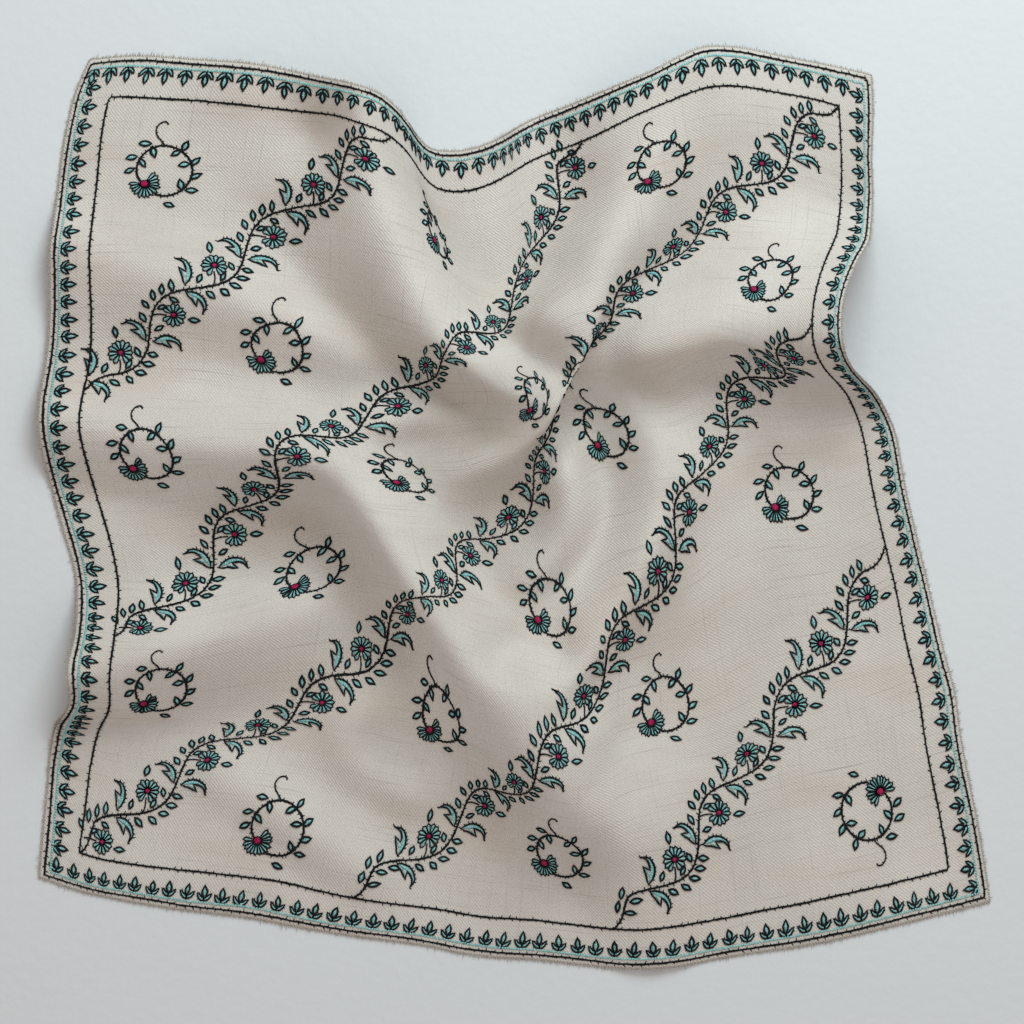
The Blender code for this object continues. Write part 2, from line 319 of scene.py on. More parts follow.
# The vines of flowers that are worked on the cloth, which show how its threads run: start and end
# on the flat cloth, how far the first flower is from the start, how far apart they are, the side
# that the first one is on, and then where each is seen to lie, across and down the view
VINES = (
    ((-150, 48), (-56, 150), 14, 22.2, 1,
     ((123, 353), (174, 311), (214, 268), (273, 235), (311, 185), (368, 157))),
    ((-150, -46), (52, 150), 8, 22.2, -1,
     ((138, 634), (188, 586), (235, 531), (253, 490), (295, 455), (333, 427), (395, 412), (427, 363),
      (468, 350), (490, 328), (530, 280), (540, 215), (577, 166))),
    ((-150, -150), (150, 150), 8, 22.3, -1,
     ((97, 846), (149, 791), (207, 762), (257, 724), (322, 702), (363, 653), (407, 607), (446, 583),
      (463, 553), (516, 521), (545, 468), (532, 415), (549, 368), (583, 325), (633, 293), (670, 246),
      (727, 214), (759, 162), (820, 132))),
    ((-52, -150), (150, 58), 29, 22.3, 1,
     ((430, 840), (487, 801), (515, 786), (556, 754), (584, 698), (620, 640), (660, 575), (687, 506),
      (709, 448), (745, 397), (765, 361), (792, 362))),
    ((38, -150), (150, -50), 28, 21.5, 1,
     ((675, 862), (720, 811), (746, 755), (797, 704), (819, 643), (872, 602))),
)
FLOWER_OUT = 2.0

# The view takes in this many mm, in this many steps across and down, from the top left corner.
VIEW_SIDE = 349.2
VIEW_STEPS = 1024
# How stiffly the cloth holds out against a pin, and how many pins hold each hem
PIN_GIVE = 300.0
HEM_PINS = 12
# How the threads slide: how many rounds, the pull along a thread in each, and how firmly a
# crossing keeps its place
SLIDING_ROUNDS = 250
THREAD_PULL = 0.05
FIRMNESS = 0.01

# %% Laying the cloth
def smooth_through(stations, values, where):
    """A smooth curve through the values at their stations, read off at each place in where: the
    cubic whose slope at a station is that of the stations on either side."""
    stations = np.asarray(stations, float)
    values = np.asarray(values, float)
    slopes = np.gradient(values, stations)
    left = np.clip(np.searchsorted(stations, where) - 1, 0, len(stations) - 2)
    span = stations[left + 1] - stations[left]
    t = (where - stations[left]) / span
    start = values[left] * (1 + 2 * t) * (1 - t) ** 2 + slopes[left] * span * t * (1 - t) ** 2
    end = values[left + 1] * t * t * (3 - 2 * t) - slopes[left + 1] * span * t * t * (1 - t)
    return start + end


def away(places, posts):
    """The distance from each place to each post, in plan."""
    return np.linalg.norm(places[:, None] - posts[None, :, :2], axis=-1)


def walked(rows, spacing):
    """The rows of a table that begin with x and y, smoothly filled in to about one spacing apart."""
    rows = np.array(rows, float)
    steps = np.maximum(np.linalg.norm(np.diff(rows[:, :2], axis=0), axis=1) // spacing, 1).astype(int)
    between = [row + np.arange(count) / count for row, count in enumerate(steps)]
    places = np.concatenate(between + [[len(steps)]])
    number = np.arange(len(rows))
    return np.stack([smooth_through(number, column, places) for column in rows.T], axis=1)


def fold_posts():
    """Posts that hold the cloth up: x, y and height every POST_SPACING or so along each crest and
    along its feet, and a few on the level board wherever no fold is near."""
    posts = []
    for rows in FOLDS.values():
        crest = walked(rows, POST_SPACING)
        ahead = np.gradient(crest[:, :2], axis=0)
        ahead /= np.linalg.norm(ahead, axis=1, keepdims=True)
        left = np.stack([-ahead[:, 1], ahead[:, 0]], axis=1)
        posts.append(crest[:, :3])
        for side, reach, foot in ((1, crest[:, 3:4], crest[:, 4:5]), (-1, crest[:, 5:6], crest[:, 6:7])):
            feet = np.hstack([crest[:, :2] + side * reach * left, foot])
            posts.append(feet[reach[:, 0] > 0])
    posts = np.concatenate(posts)
    ticks = np.arange(-BOARD_SIDE, BOARD_SIDE + 1, LEVEL_SPACING)
    level = np.stack(np.meshgrid(ticks, ticks), axis=-1).reshape(-1, 2)
    level = level[away(level, posts).min(axis=1) > LEVEL_CLEAR]
    return np.vstack([posts, np.pad(level, ((0, 0), (0, 1)))])


def soften(field, radius):
    """Rounds a field on the board off over a bending radius: the mean of the neighbours, each
    weighted by the bell curve of its distance."""
    sigma = radius / BOARD_STEP
    most = int(3 * sigma)
    weights = np.exp(-0.5 * (np.arange(-most, most + 1) / sigma) ** 2)
    weights /= weights.sum()
    for axis in (0, 1):
        count = field.shape[axis]
        edges = [(most, most) if side == axis else (0, 0) for side in (0, 1)]
        wide = np.pad(field, edges, mode="edge")
        field = sum(w * np.take(wide, range(i, i + count), axis) for i, w in enumerate(weights))
    return field


def fold_board():
    """The cloth's lean in x, its lean in y and its height, at every step of the board. The height
    is a constant less the sum of weight times distance over the posts, with the weights that bring
    it to every post's height, or nearly, as POST_GIVE lets it pass a post by a little. It can't go
    under the board. The lean is the most that any step along the leaning crest gives, each fading
    with the bell curve of its distance."""
    posts = fold_posts()
    count = len(posts)
    system = np.ones((count + 1, count + 1))
    system[:count, :count] = POST_GIVE * np.eye(count) - away(posts[:, :2], posts)
    system[count, count] = 0
    weights = np.linalg.solve(system, np.append(posts[:, 2], 0))
    ticks = np.arange(-BOARD_SIDE, BOARD_SIDE + BOARD_STEP / 2, BOARD_STEP)
    board = np.stack(np.meshgrid(ticks, ticks, indexing="ij"), axis=-1)
    height = np.stack([weights[count] - away(row, posts) @ weights[:count] for row in board])
    leaning = walked(LEANING, BOARD_STEP)
    near = np.stack([np.exp(-0.5 * (away(row, leaning) / LEAN_REACH) ** 2) for row in board])
    lean_x, lean_y = (near * leaning[:, 2]).max(axis=-1), (near * leaning[:, 3]).min(axis=-1)
    fields = (lean_x, lean_y, np.maximum(height - SETTLING, 0))
    return np.dstack([soften(field, BENDING_RADIUS) for field in fields])


def read_off(field, places, side, step):
    """A field (n, n, values) on a square from -side to side, at each of the places: the four
    nearest crossings, each weighted by its nearness."""
    cell = (places + side) / step
    first = np.clip(np.floor(cell), 0, len(field) - 2).astype(int)
    share = cell - first
    i, j = first[..., 0], first[..., 1]
    s, t = share[..., 0:1], share[..., 1:2]
    near = field[i, j] * (1 - t) + field[i, j + 1] * t
    far = field[i + 1, j] * (1 - t) + field[i + 1, j + 1] * t
    return near * (1 - s) + far * s


def lie(plan, board):
    """Where the cloth lies: its places in plan, leant over, and its height."""
    fold = read_off(board, plan, BOARD_SIDE, BOARD_STEP)
    return np.concatenate([plan + fold[..., :2], fold[..., 2:]], axis=-1)


def between_hems(threads):
    """Where the crossings of the threads would lie on a level board: at even shares of the way
    from hem to hem."""
    hems = np.array(LEVEL_HEMS, float)
    top, bottom = (smooth_through(hems[:, 0], hems[:, column], threads) for column in (1, 2))
    hems = np.array(UPRIGHT_HEMS, float)
    left, right = (smooth_through(hems[:, 0], hems[:, column], threads) for column in (1, 2))
    share = (threads + HALF_SIDE) / CUT_SIDE
    x = left[None, :] + (right - left)[None, :] * share[:, None]
    y = bottom[:, None] + (top - bottom)[:, None] * share[None, :]
    return np.stack([x, y], axis=-1)


def evened(plan, board):
    """Slides the crossings along their threads until they are evenly spaced on each thread, which
    puts more of them where the cloth is steep."""
    for _ in range(EVENING_ROUNDS):
        laid = lie(plan, board)
        run = np.pad(np.cumsum(np.linalg.norm(np.diff(laid, axis=0), axis=-1), axis=0), ((1, 0), (0, 0)))
        share = np.linspace(0, 1, len(plan))
        plan = np.stack(
            [
                np.stack([np.interp(share * along[-1], along, column) for column in line.T], axis=1)
                for along, line in zip(run.T, plan.transpose(1, 0, 2))
            ]
        )
    return plan


def spread_on_hems(threads, plan):
    """Shifts the crossings along the threads, so that on each hem they lie where HEM_STATIONS has
    them. In between, the shift changes evenly from hem to hem."""
    share = (threads + HALF_SIDE) / CUT_SIDE

    def shift(name, edge):
        stations = np.array(HEM_STATIONS[name], float)
        axis = 0 if name in ("top", "bottom") else 1
        places = seen(stations[:, 1], stations[:, 1])[:, axis]
        wanted = smooth_through(stations[:, 0], places, threads)
        return np.interp(wanted, edge[:, axis], threads) - threads

    across = np.outer(shift("bottom", plan[:, 0]), 1 - share) + np.outer(shift("top", plan[:, -1]), share)
    up = np.outer(1 - share, shift("left", plan[0])) + np.outer(share, shift("right", plan[-1]))
    flat = np.stack([threads[:, None] + across, threads[None, :] + up], axis=-1)
    return at_places(plan, np.clip(flat, -HALF_SIDE, HALF_SIDE))


def seen(across, down):
    """Places in mm from steps across and down the view, whose middle is the origin."""
    half, step = VIEW_STEPS / 2, VIEW_SIDE / VIEW_STEPS
    return np.stack([(np.asarray(across) - half) * step, (half - np.asarray(down)) * step], axis=-1)


def along_vine(start, end):
    """A vine's length, and the unit vectors that point along it and to its left."""
    reach = np.subtract(end, start)
    length = np.hypot(*reach)
    ahead = reach / length
    return length, ahead, np.array([-ahead[1], ahead[0]])


def flower_pins():
    """Where the flowers are on the flat cloth, and where they are seen to lie."""
    flat, lying = [], []
    for start, end, first, pitch, side, places in VINES:
        _, ahead, left = along_vine(start, end)
        for number, place in enumerate(places):
            out = side * (-1) ** number * FLOWER_OUT
            flat.append(start + ahead * (first + pitch * number) + left * out)
            lying.append(seen(*place))
    return np.array(flat), np.array(lying)


def drawn_by_pins(pins, moves, give, where):
    """How far each place moves when the pins draw the cloth: a thin plate, which is a plane plus
    r^2 log r for the distance r to each pin. give lets the plate pass a pin by a little."""

    def plate(places):
        square = ((places[:, None] - pins[None]) ** 2).sum(axis=-1)
        return 0.5 * square * np.log(np.maximum(square, 1e-9))

    def plane(places):
        return np.hstack([np.ones((len(places), 1)), places])

    count = len(pins)
    system = np.zeros((count + 3, count + 3))
    system[:count, :count] = plate(pins) + np.diag(give)
    system[:count, count:] = plane(pins)
    system[count:, :count] = plane(pins).T
    weights = np.linalg.solve(system, np.vstack([moves, np.zeros((3, moves.shape[1]))]))
    return plate(where) @ weights[:count] + plane(where) @ weights[count:]


def at_places(field, places):
    """A field (threads, threads, values) read off at places on the flat cloth."""
    return read_off(field, places, HALF_SIDE, THREAD_SPACING)


def slid(plan, board):
    """Lets the threads slide. Each crossing is pulled towards its four neighbours by the length of
    cloth to each, and back to where it was, so that nearby crossings share a steep flank evenly.
    The hems don't move."""
    kept = plan
    inner = (slice(1, -1), slice(1, -1))
    for _ in range(SLIDING_ROUNDS):
        laid = lie(plan, board)
        pull = np.zeros_like(plan)
        for axis in (0, 1):
            length = np.linalg.norm(np.diff(laid, axis=axis), axis=-1, keepdims=True)
            step = np.diff(plan, axis=axis)
            step *= THREAD_PULL * length / np.maximum(np.linalg.norm(step, axis=-1, keepdims=True), 1e-6)
            edge = [(0, 0)] * 3
            pull += np.pad(step, edge[:axis] + [(0, 1)] + edge[axis + 1:])
            pull -= np.pad(step, edge[:axis] + [(1, 0)] + edge[axis + 1:])
        plan = plan.copy()
        plan[inner] += (pull + FIRMNESS * (kept - plan))[inner]
    return plan


def lay_cloth():
    """The threads' places on the flat cloth, and where each crossing lies (threads, threads, 3)."""
    threads = np.linspace(-HALF_SIDE, HALF_SIDE, int(round(CUT_SIDE / THREAD_SPACING)) + 1)
    board = fold_board()
    plan = spread_on_hems(threads, evened(between_hems(threads), board))
    flowers, lying = flower_pins()
    rim = np.linspace(-HALF_SIDE, HALF_SIDE, HEM_PINS + 1)[:-1]
    edge = np.full(HEM_PINS, HALF_SIDE)
    corners_round = ((rim, -edge), (edge, rim), (-rim, edge), (-edge, -rim))
    hem = np.concatenate([np.stack(pair, axis=-1) for pair in corners_round])
    pins = np.concatenate([flowers, hem])
    moves = np.concatenate([lying - at_places(plan, flowers), np.zeros((len(hem), 2))])
    give = np.where(np.arange(len(pins)) < len(flowers), PIN_GIVE, 0.0)
    where = np.stack(np.meshgrid(threads, threads, indexing="ij"), axis=-1).reshape(-1, 2)
    plan = plan + drawn_by_pins(pins, moves, give, where).reshape(plan.shape)
    laid = lie(slid(plan, board), board)
    missed = np.linalg.norm(at_places(laid, flowers)[:, :2] - lying, axis=1)
    print("flowers off their seen places, mm: mean", missed.mean().round(1), "most", missed.max().round(1))
    return threads, laid


threads, laid = lay_cloth()
middle_x, middle_y = (laid[..., :2].min(axis=(0, 1)) + laid[..., :2].max(axis=(0, 1))) / 2
laid -= (middle_x, middle_y, 0)
upward = np.cross(np.gradient(laid, axis=0), np.gradient(laid, axis=1))
upward /= np.linalg.norm(upward, axis=-1, keepdims=True)
print("laid cloth, mm:", np.ptp(laid, axis=(0, 1)).round(1))

# %% [markdown]
# ## Camera and light
#
# Everything is looked at from straight above, so the camera hangs far up with a long lens, which
# keeps the high folds from sliding outwards. Most of the light comes evenly from the room all
# round. A soft window near the far hem adds the rest, so the folds show by their shade alone.

# %% Camera and light
# Metres for the camera and the window, mm for the camera's sensor
CAMERA_HEIGHT = 4.0
CLOTH_LEVEL = 0.012
SENSOR = 36.0
FAR_CLIP = 50.0
WINDOW_PLACE = (0.20, 0.62, 0.58)
WINDOW_SIDE = 0.5
WINDOW_WATTS = 3.9
WINDOW_COLOUR = (0.91, 1.08, 1.11)
ROOM_COLOUR = (1.0, 0.945, 0.90, 1.0)
ROOM_STRENGTH = 0.49

collection = bpy.context.scene.collection
camera = bpy.data.objects.new("camera", bpy.data.cameras.new("camera"))
collection.objects.link(camera)
camera.location = (-middle_x * MM, -middle_y * MM, CAMERA_HEIGHT)
camera.data.sensor_width = SENSOR
camera.data.lens = SENSOR * (CAMERA_HEIGHT - CLOTH_LEVEL) / (VIEW_SIDE * MM)
camera.data.clip_end = FAR_CLIP
bpy.context.scene.camera = camera
bpy.context.scene.view_settings.view_transform = "Standard"

# A square area light that looks at the middle of the cloth
window = bpy.data.objects.new("window", bpy.data.lights.new("window", "AREA"))
collection.objects.link(window)
window.data.size = WINDOW_SIDE
window.data.energy = WINDOW_WATTS
window.data.color = WINDOW_COLOUR
window.visible_camera = False
window.location = WINDOW_PLACE
window.rotation_mode = "QUATERNION"
window.rotation_quaternion = (-Vector(WINDOW_PLACE)).to_track_quat("-Z", "Y")

world = bpy.data.worlds.new("room")
bpy.context.scene.world = world
world.use_nodes = True
room = world.node_tree.nodes["Background"].inputs
room["Color"].default_value = ROOM_COLOUR
room["Strength"].default_value = ROOM_STRENGTH
print("camera lens, mm:", round(camera.data.lens))

# %% [markdown]
# ## Finishes
#
# A finish is a small tree of shader nodes. Writing the trees by hand gets long, so two helpers do
# it: a Wire is one output socket that can be added, multiplied and so on in a Python expression,
# and a Finish is a material that makes any node from its type, its settings and what its sockets
# get. The patterns read the threads' own coordinates, so they follow the cloth into its folds.

# %% Helpers for finishes
class Wire:
    """One output socket, which Python sums can use. Each operator adds one Math node."""

    def __init__(self, finish, socket):
        self.finish, self.socket = finish, socket

    def _math(self, operation, *values):
        return self.finish.node("ShaderNodeMath", {"operation": operation}, dict(enumerate(values)))

    def __add__(self, other):
        return self._math("ADD", self, other)

    def __sub__(self, other):
        return self._math("SUBTRACT", self, other)

    def __rsub__(self, other):
        return self._math("SUBTRACT", other, self)

    def __mul__(self, other):
        return self._math("MULTIPLY", self, other)

    __radd__ = __add__
    __rmul__ = __mul__

    def sine(self):
        return self._math("SINE", self)

    def clamp(self):
        """Keeps the value from 0 to 1."""
        settings = {"operation": "ADD", "use_clamp": True}
        return self.finish.node("ShaderNodeMath", settings, {0: self, 1: 0.0})


class Finish:
    """A material on one Principled shader."""

    def __init__(self, name):
        self.material = bpy.data.materials.new(name)
        self.material.use_nodes = True
        self.tree = self.material.node_tree
        self.shader = self.tree.nodes["Principled BSDF"]

    def node(self, kind, settings, sockets, out=0):
        """Makes a node: its settings first, then the value or wire that each socket gets."""
        made = self.tree.nodes.new(kind)
        for key, value in settings.items():
            setattr(made, key, value)
        for key, value in sockets.items():
            self.feed(made.inputs[key], value)
        return Wire(self, made.outputs[out])

    def feed(self, socket, value):
        """Links a wire to a socket, or sets the socket's own value."""
        if isinstance(value, Wire):
            self.tree.links.new(value.socket, socket)
        else:
            socket.default_value = value

    def put(self, **sockets):
        """Feeds the Principled shader. Base_Color stands for Base Color."""
        for key, value in sockets.items():
            self.feed(self.shader.inputs[key.replace("_", " ")], value)

    def mix(self, factor, first, second):
        """A colour between two others."""
        return self.node("ShaderNodeMix", {"data_type": "RGBA"}, {0: factor, 6: first, 7: second}, out=2)

    def flat_place(self):
        """The two wires of the piece's own flat coordinates, and both as one."""
        both = self.node("ShaderNodeUVMap", {"uv_map": "flat"}, {})
        first = self.node("ShaderNodeSeparateXYZ", {}, {0: both})
        return first, Wire(self, first.socket.node.outputs[1]), both

    def own_place(self):
        """Object coordinates, in metres."""
        return self.node("ShaderNodeTexCoord", {}, {}, out=3)

    def noise(self, where, scale, detail=2.0, finer=(1.0, 1.0, 1.0)):
        """Soft blotches from 0 to 1: scale of them to each unit of where, and in x, y and z as many
        times more as finer says."""
        placed = self.node("ShaderNodeMapping", {"vector_type": "POINT"}, {"Vector": where, "Scale": finer})
        return self.node("ShaderNodeTexNoise", {}, {"Vector": placed, "Scale": scale, "Detail": detail})

    def bump(self, height, strength, depth):
        """Tilts the surface as if it rose by height times depth, in metres."""
        sockets = {"Height": height, "Strength": strength, "Distance": depth}
        self.put(Normal=self.node("ShaderNodeBump", {}, sockets))


# %% [markdown]
# ### Undyed wool twill
#
# Twill shows as fine slanting ribs, here a little under a millimetre apart and falling to the
# right. The yarn is handspun, so single threads are thicker or darker than their neighbours for a
# few centimetres, and the whole cloth is faintly mottled. The ribs could be modelled, but at this
# size they are a bump and a small change of colour: painted shade darkens the grooves between
# the ribs, and dark specks of painted shade lie in some of the grooves.

# %% Wool twill
RIB_PITCH = 0.8
TWILL_DEPTH = 0.2
# How many blotches there are along a side of the square
GRAIN_SCALE = 620.0
SWAY_SCALE = 160.0
WARM_SHARE = 0.7
SLUB_AND_SPECK_SHARE = 0.5
WOOL_PALE = (0.80, 0.742, 0.69, 1.0)
WOOL_DARK = (0.53, 0.47, 0.415, 1.0)
WOOL_WARM = (0.67, 0.555, 0.475, 1.0)
# Real slubs and the specks of painted shade in the rib grooves both take this colour.
SLUB_AND_SPECK_SHADE = (0.30, 0.255, 0.20, 1.0)


def wool_twill():
    """Undyed wool twill on flat cloth coordinates, which run from 0 to 1 across the square. The
    ribs are a sine of u + v, shaken by two noises. Slubs are noises stretched along one thread.
    The grooves between the ribs, and specks in them, are darkened with painted shade."""
    wool = Finish("wool twill")
    u, v, flat = wool.flat_place()
    grain = wool.noise(flat, GRAIN_SCALE, 2.0)
    sway = wool.noise(flat, SWAY_SCALE, 2.0)
    phase = (u * CUT_SIDE + v * CUT_SIDE) * (2 * np.pi / RIB_PITCH / np.sqrt(2))
    ribs = (phase + grain * 4.2 + sway * 5.0).sine() * 0.5 + 0.5
    mottle = wool.noise(flat, 7.0, 4.0)
    patches = wool.noise(flat, 5.0, 3.0, (1.0, 2.4, 1.0))
    weft_slubs = wool.noise(flat, 10.0, 1.0, (1.0, 55.0, 1.0))
    warp_slubs = wool.noise(flat, 10.0, 1.0, (60.0, 0.8, 1.0))
    # Painted shade: dark specks in the grooves between the ribs, and a darker colour all along the grooves,
    # mixed with the random mottle.
    groove_shade_dots = ((grain - 0.60) * 5.0).clamp() * (1 - ribs)
    mottle_and_groove_shade = ((mottle - 0.5) * 1.2 + (grain - 0.5) * 0.7 + (1 - ribs) * 0.24 + 0.12).clamp()
    thick = ((weft_slubs - 0.60) * 4.0).clamp() + ((warp_slubs - 0.64) * 4.0).clamp()
    # The slubs are real; the specks are painted shade, and both are mixed in together.
    slubs_and_shaded_specks = (thick + groove_shade_dots * 1.6).clamp()
    warm = ((patches - 0.5) * 4.0).clamp()
    colour = wool.mix(warm * WARM_SHARE, wool.mix(mottle_and_groove_shade, WOOL_PALE, WOOL_DARK), WOOL_WARM)
    colour = wool.mix(slubs_and_shaded_specks * SLUB_AND_SPECK_SHARE, colour, SLUB_AND_SPECK_SHADE)
    wool.put(Base_Color=colour, Roughness=0.88, Sheen_Weight=0.15, Sheen_Roughness=0.5)
    relief = ribs * 0.8 + grain * 0.4 + weft_slubs * 0.25 + warp_slubs * 0.2
    wool.bump(relief, 0.7, TWILL_DEPTH * MM)
    return wool.material


# %% [markdown]
# ### Embroidery wool
#
# The stitches are worked in single wool yarns: black for lines, teal for leaves and petals, a
# brighter turquoise for one running line, and a little magenta. A yarn is twisted, so its bump is
# a slanting rib that climbs round it, and the filled shapes change shade from stitch to stitch.
# The rib also gets painted shade: the colour is lighter on its crest and darker beside it.

# %% Yarns
TWIST_DEPTH = 0.12


def yarn(name, deep, bright, twist, speckle, roughness):
    """Dyed yarn. Its own coordinates run along it in mm and once round it: the twist is a sine of
    both, twist turns to the mm, and speckle is how many blotches of colour there are to the mm."""
    dyed = Finish(name)
    along, around, _ = dyed.flat_place()
    strands = ((along * twist + around) * (2 * np.pi)).sine() * 0.5 + 0.5
    blotch = dyed.noise(dyed.own_place(), speckle / MM, 2.0)
    # Random blotches of colour, plus painted shade: the yarn is lighter on the crests of its twist and darker
    # between them.
    shade = ((blotch - 0.5) * 2.2 + strands * 0.35 + 0.25).clamp()
    dyed.put(Base_Color=dyed.mix(shade, deep, bright), Roughness=roughness, Specular_IOR_Level=0.2)
    dyed.bump(strands * 0.7 + blotch * 0.5, 0.6, TWIST_DEPTH * MM)
    return dyed.material


black_yarn = yarn("black yarn", (0.003, 0.004, 0.005, 1), (0.016, 0.018, 0.022, 1), 0.8, 1.2, 0.9)
teal_yarn = yarn("teal yarn", (0.12, 0.38, 0.38, 1), (0.47, 0.84, 0.83, 1), 1.2, 1.6, 0.7)
turquoise_yarn = yarn("turquoise yarn", (0.20, 0.52, 0.52, 1), (0.48, 0.85, 0.84, 1), 0.9, 1.0, 0.7)
magenta_yarn = yarn("magenta yarn", (0.28, 0.004, 0.05, 1), (0.60, 0.012, 0.13, 1), 1.0, 1.5, 0.65)

# %% [markdown]
# ## The sheet
#
# The cloth itself is half a millimetre thick. Its upper face is the grid of thread crossings, and
# a Solidify modifier gives it the underside and the rim.

# %% The cloth
CLOTH_THICK = 0.5
TOP_LEVEL = 0.55
# Where the cloth lies over itself, each mm of height counts as this many mm of nearness.
UPPER_SHARE = 0.05
NEWTON_STEPS = 3
STEADYING = 0.05


def on_cloth(flat, lift):
    """Where a point of the flat cloth comes to lie, raised by lift mm along the cloth's own upward
    normal. In metres."""
    rise = np.asarray(lift)[..., None] + TOP_LEVEL
    return (at_places(laid, flat) + at_places(upward, flat) * rise) * MM


def under_view(places):
    """The places on the flat cloth that are seen at these steps across and down the view: the
    crossing that lies nearest in plan, the higher one where the cloth lies over itself, and then
    three steps of Newton's method on the cloth round it."""
    target = seen(*np.array(places, float).T) - (middle_x, middle_y)
    far = np.linalg.norm(laid[None, :, :, :2] - target[:, None, None], axis=-1)
    far -= UPPER_SHARE * laid[None, :, :, 2]
    i, j = np.unravel_index(far.reshape(len(target), -1).argmin(axis=1), laid.shape[:2])
    flat = np.stack([threads[i], threads[j]], axis=-1)
    slope = np.stack(np.gradient(laid[..., :2], threads, threads, axis=(0, 1)), axis=-1)
    for _ in range(NEWTON_STEPS):
        miss = target - at_places(laid, flat)[:, :2]
        step = np.linalg.solve(slope[i, j] + STEADYING * np.eye(2), miss[..., None])[..., 0]
        flat = flat + np.clip(step, -THREAD_SPACING, THREAD_SPACING)
    return flat


def make_piece(name, points, polygons, coordinates, material):
    """Puts arrays into a mesh: points (n, 3), polygons a list of (count, corners) arrays of point
    numbers, and coordinates the matching list of (count, corners, 2)."""
    mesh = bpy.data.meshes.new(name)
    mesh.vertices.add(len(points))
    mesh.vertices.foreach_set("co", np.ascontiguousarray(points, np.float32).ravel())
    corners = np.concatenate([group.ravel() for group in polygons])
    sizes = np.concatenate([np.full(len(group), group.shape[1]) for group in polygons])
    mesh.loops.add(len(corners))
    mesh.loops.foreach_set("vertex_index", corners.astype(np.int32))
    mesh.polygons.add(len(sizes))
    mesh.polygons.foreach_set("loop_start", (np.cumsum(sizes) - sizes).astype(np.int32))
    own = mesh.uv_layers.new(name="flat")
    places = np.concatenate([group.reshape(-1, 2) for group in coordinates])
    own.data.foreach_set("uv", places.astype(np.float32).ravel())
    mesh.update(calc_edges=True)
    mesh.shade_smooth()
    mesh.materials.append(material)
    piece = bpy.data.objects.new(name, mesh)
    collection.objects.link(piece)
    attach(piece, "root")
    print(name, len(points), "points,", len(sizes), "faces")
    return piece


def cloth_sheet():
    """The upper face of the cloth, one vertex at each crossing, and its Solidify modifier."""
    count = len(threads)
    flat = np.stack(np.meshgrid(threads, threads, indexing="ij"), axis=-1).reshape(-1, 2)
    row = np.arange(count - 1)
    first = (row[:, None] * count + row[None, :]).ravel()
    quads = np.stack([first, first + count, first + count + 1, first + 1], axis=1)
    upper = on_cloth(flat, np.zeros(len(flat)))
    sheet = make_piece("twill_cloth", upper, [quads], [(flat / CUT_SIDE + 0.5)[quads]], wool_twill())
    thick = sheet.modifiers.new("thickness", "SOLIDIFY")
    thick.thickness = CLOTH_THICK * MM
    thick.offset = -1.0
    thick.use_even_offset = False
    return sheet


cloth = cloth_sheet()
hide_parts("cloth")

# %% [markdown]
# ## Drawing with a needle
#
# Every stitch is drawn on the flat cloth and carried onto the laid cloth. Lines, leaves and knots
# are one kind of surface: an oval profile carried along a path, with its own width and rise at
# each step. A line keeps its width, a leaf swells and narrows, and both ends are closed.

# %% Helpers for stitches
random = np.random.default_rng(18)
# How far the foot of every stitch lies below the face of the cloth, as a height
SINK = -0.06
# A barb's half width and rise, where it leaves the line and at its tip
BARB_WIDTH = np.array([0.32, 0.14])
BARB_RISE = np.array([0.21, 0.10])


def headings(paths, closed):
    """The unit vector that points ahead at each step of the paths: from the step before to the
    step after, which on a closed path go round."""
    if closed:
        ahead = np.roll(paths, -1, axis=1) - np.roll(paths, 1, axis=1)
    else:
        ahead = np.gradient(paths, axis=1)
    return ahead / np.maximum(np.linalg.norm(ahead, axis=-1, keepdims=True), 1e-9)


def stitched(paths, half_width, rise, sides=4, closed=False):
    """Stitches along paths (count, steps, 2) on the flat cloth. Around each step goes an oval:
    half_width times the cosine across the path, and rise times 1 plus the sine above the cloth.
    Returns points, polygons and their own coordinates, along in mm and once around."""
    paths = np.asarray(paths, float)
    count, steps = paths.shape[:2]
    ahead = headings(paths, closed)
    across = np.stack([-ahead[..., 1], ahead[..., 0]], axis=-1)
    turn = 2 * np.pi * (np.arange(sides) + 0.5) / sides
    half_width = np.broadcast_to(half_width, (count, steps))[..., None]
    rise = np.broadcast_to(rise, (count, steps))[..., None]
    flat = paths[:, :, None, :] + across[:, :, None, :] * (half_width * np.cos(turn))[..., None]
    points = on_cloth(flat, rise * (1 + np.sin(turn)) + SINK).reshape(-1, 3)

    number = np.arange(count * steps * sides).reshape(count, steps, sides)
    step = np.linalg.norm(np.diff(paths, axis=1), axis=-1)
    along = np.pad(np.cumsum(step, axis=1), ((0, 0), (1, 0)))
    if closed:
        number = np.concatenate([number, number[:, :1]], axis=1)
        last = along[:, -1:] + np.linalg.norm(paths[:, -1] - paths[:, 0], axis=-1)[:, None]
        along = np.concatenate([along, last], axis=1)
    near, far = number[:, :-1], number[:, 1:]
    quads = np.stack([near, np.roll(near, -1, axis=2), np.roll(far, -1, axis=2), far], axis=-1)
    around = np.arange(sides) / sides
    start, end = along[:, :-1, None] + 0 * around, along[:, 1:, None] + 0 * around
    here, there = 0 * start + around, 0 * start + around + 1 / sides
    corners = ((start, here), (start, there), (end, there), (end, here))
    own = np.stack([np.stack(corner, axis=-1) for corner in corners], axis=-2)
    polygons, coordinates = [quads.reshape(-1, 4)], [own.reshape(-1, 4, 2)]
    if not closed:
        ends = np.concatenate([number[:, 0, ::-1], number[:, -1]])
        polygons.append(ends)
        rim = np.stack([np.zeros(sides), around], axis=-1)
        coordinates.append(np.broadcast_to(rim, (len(ends), sides, 2)))
    return points, polygons, coordinates


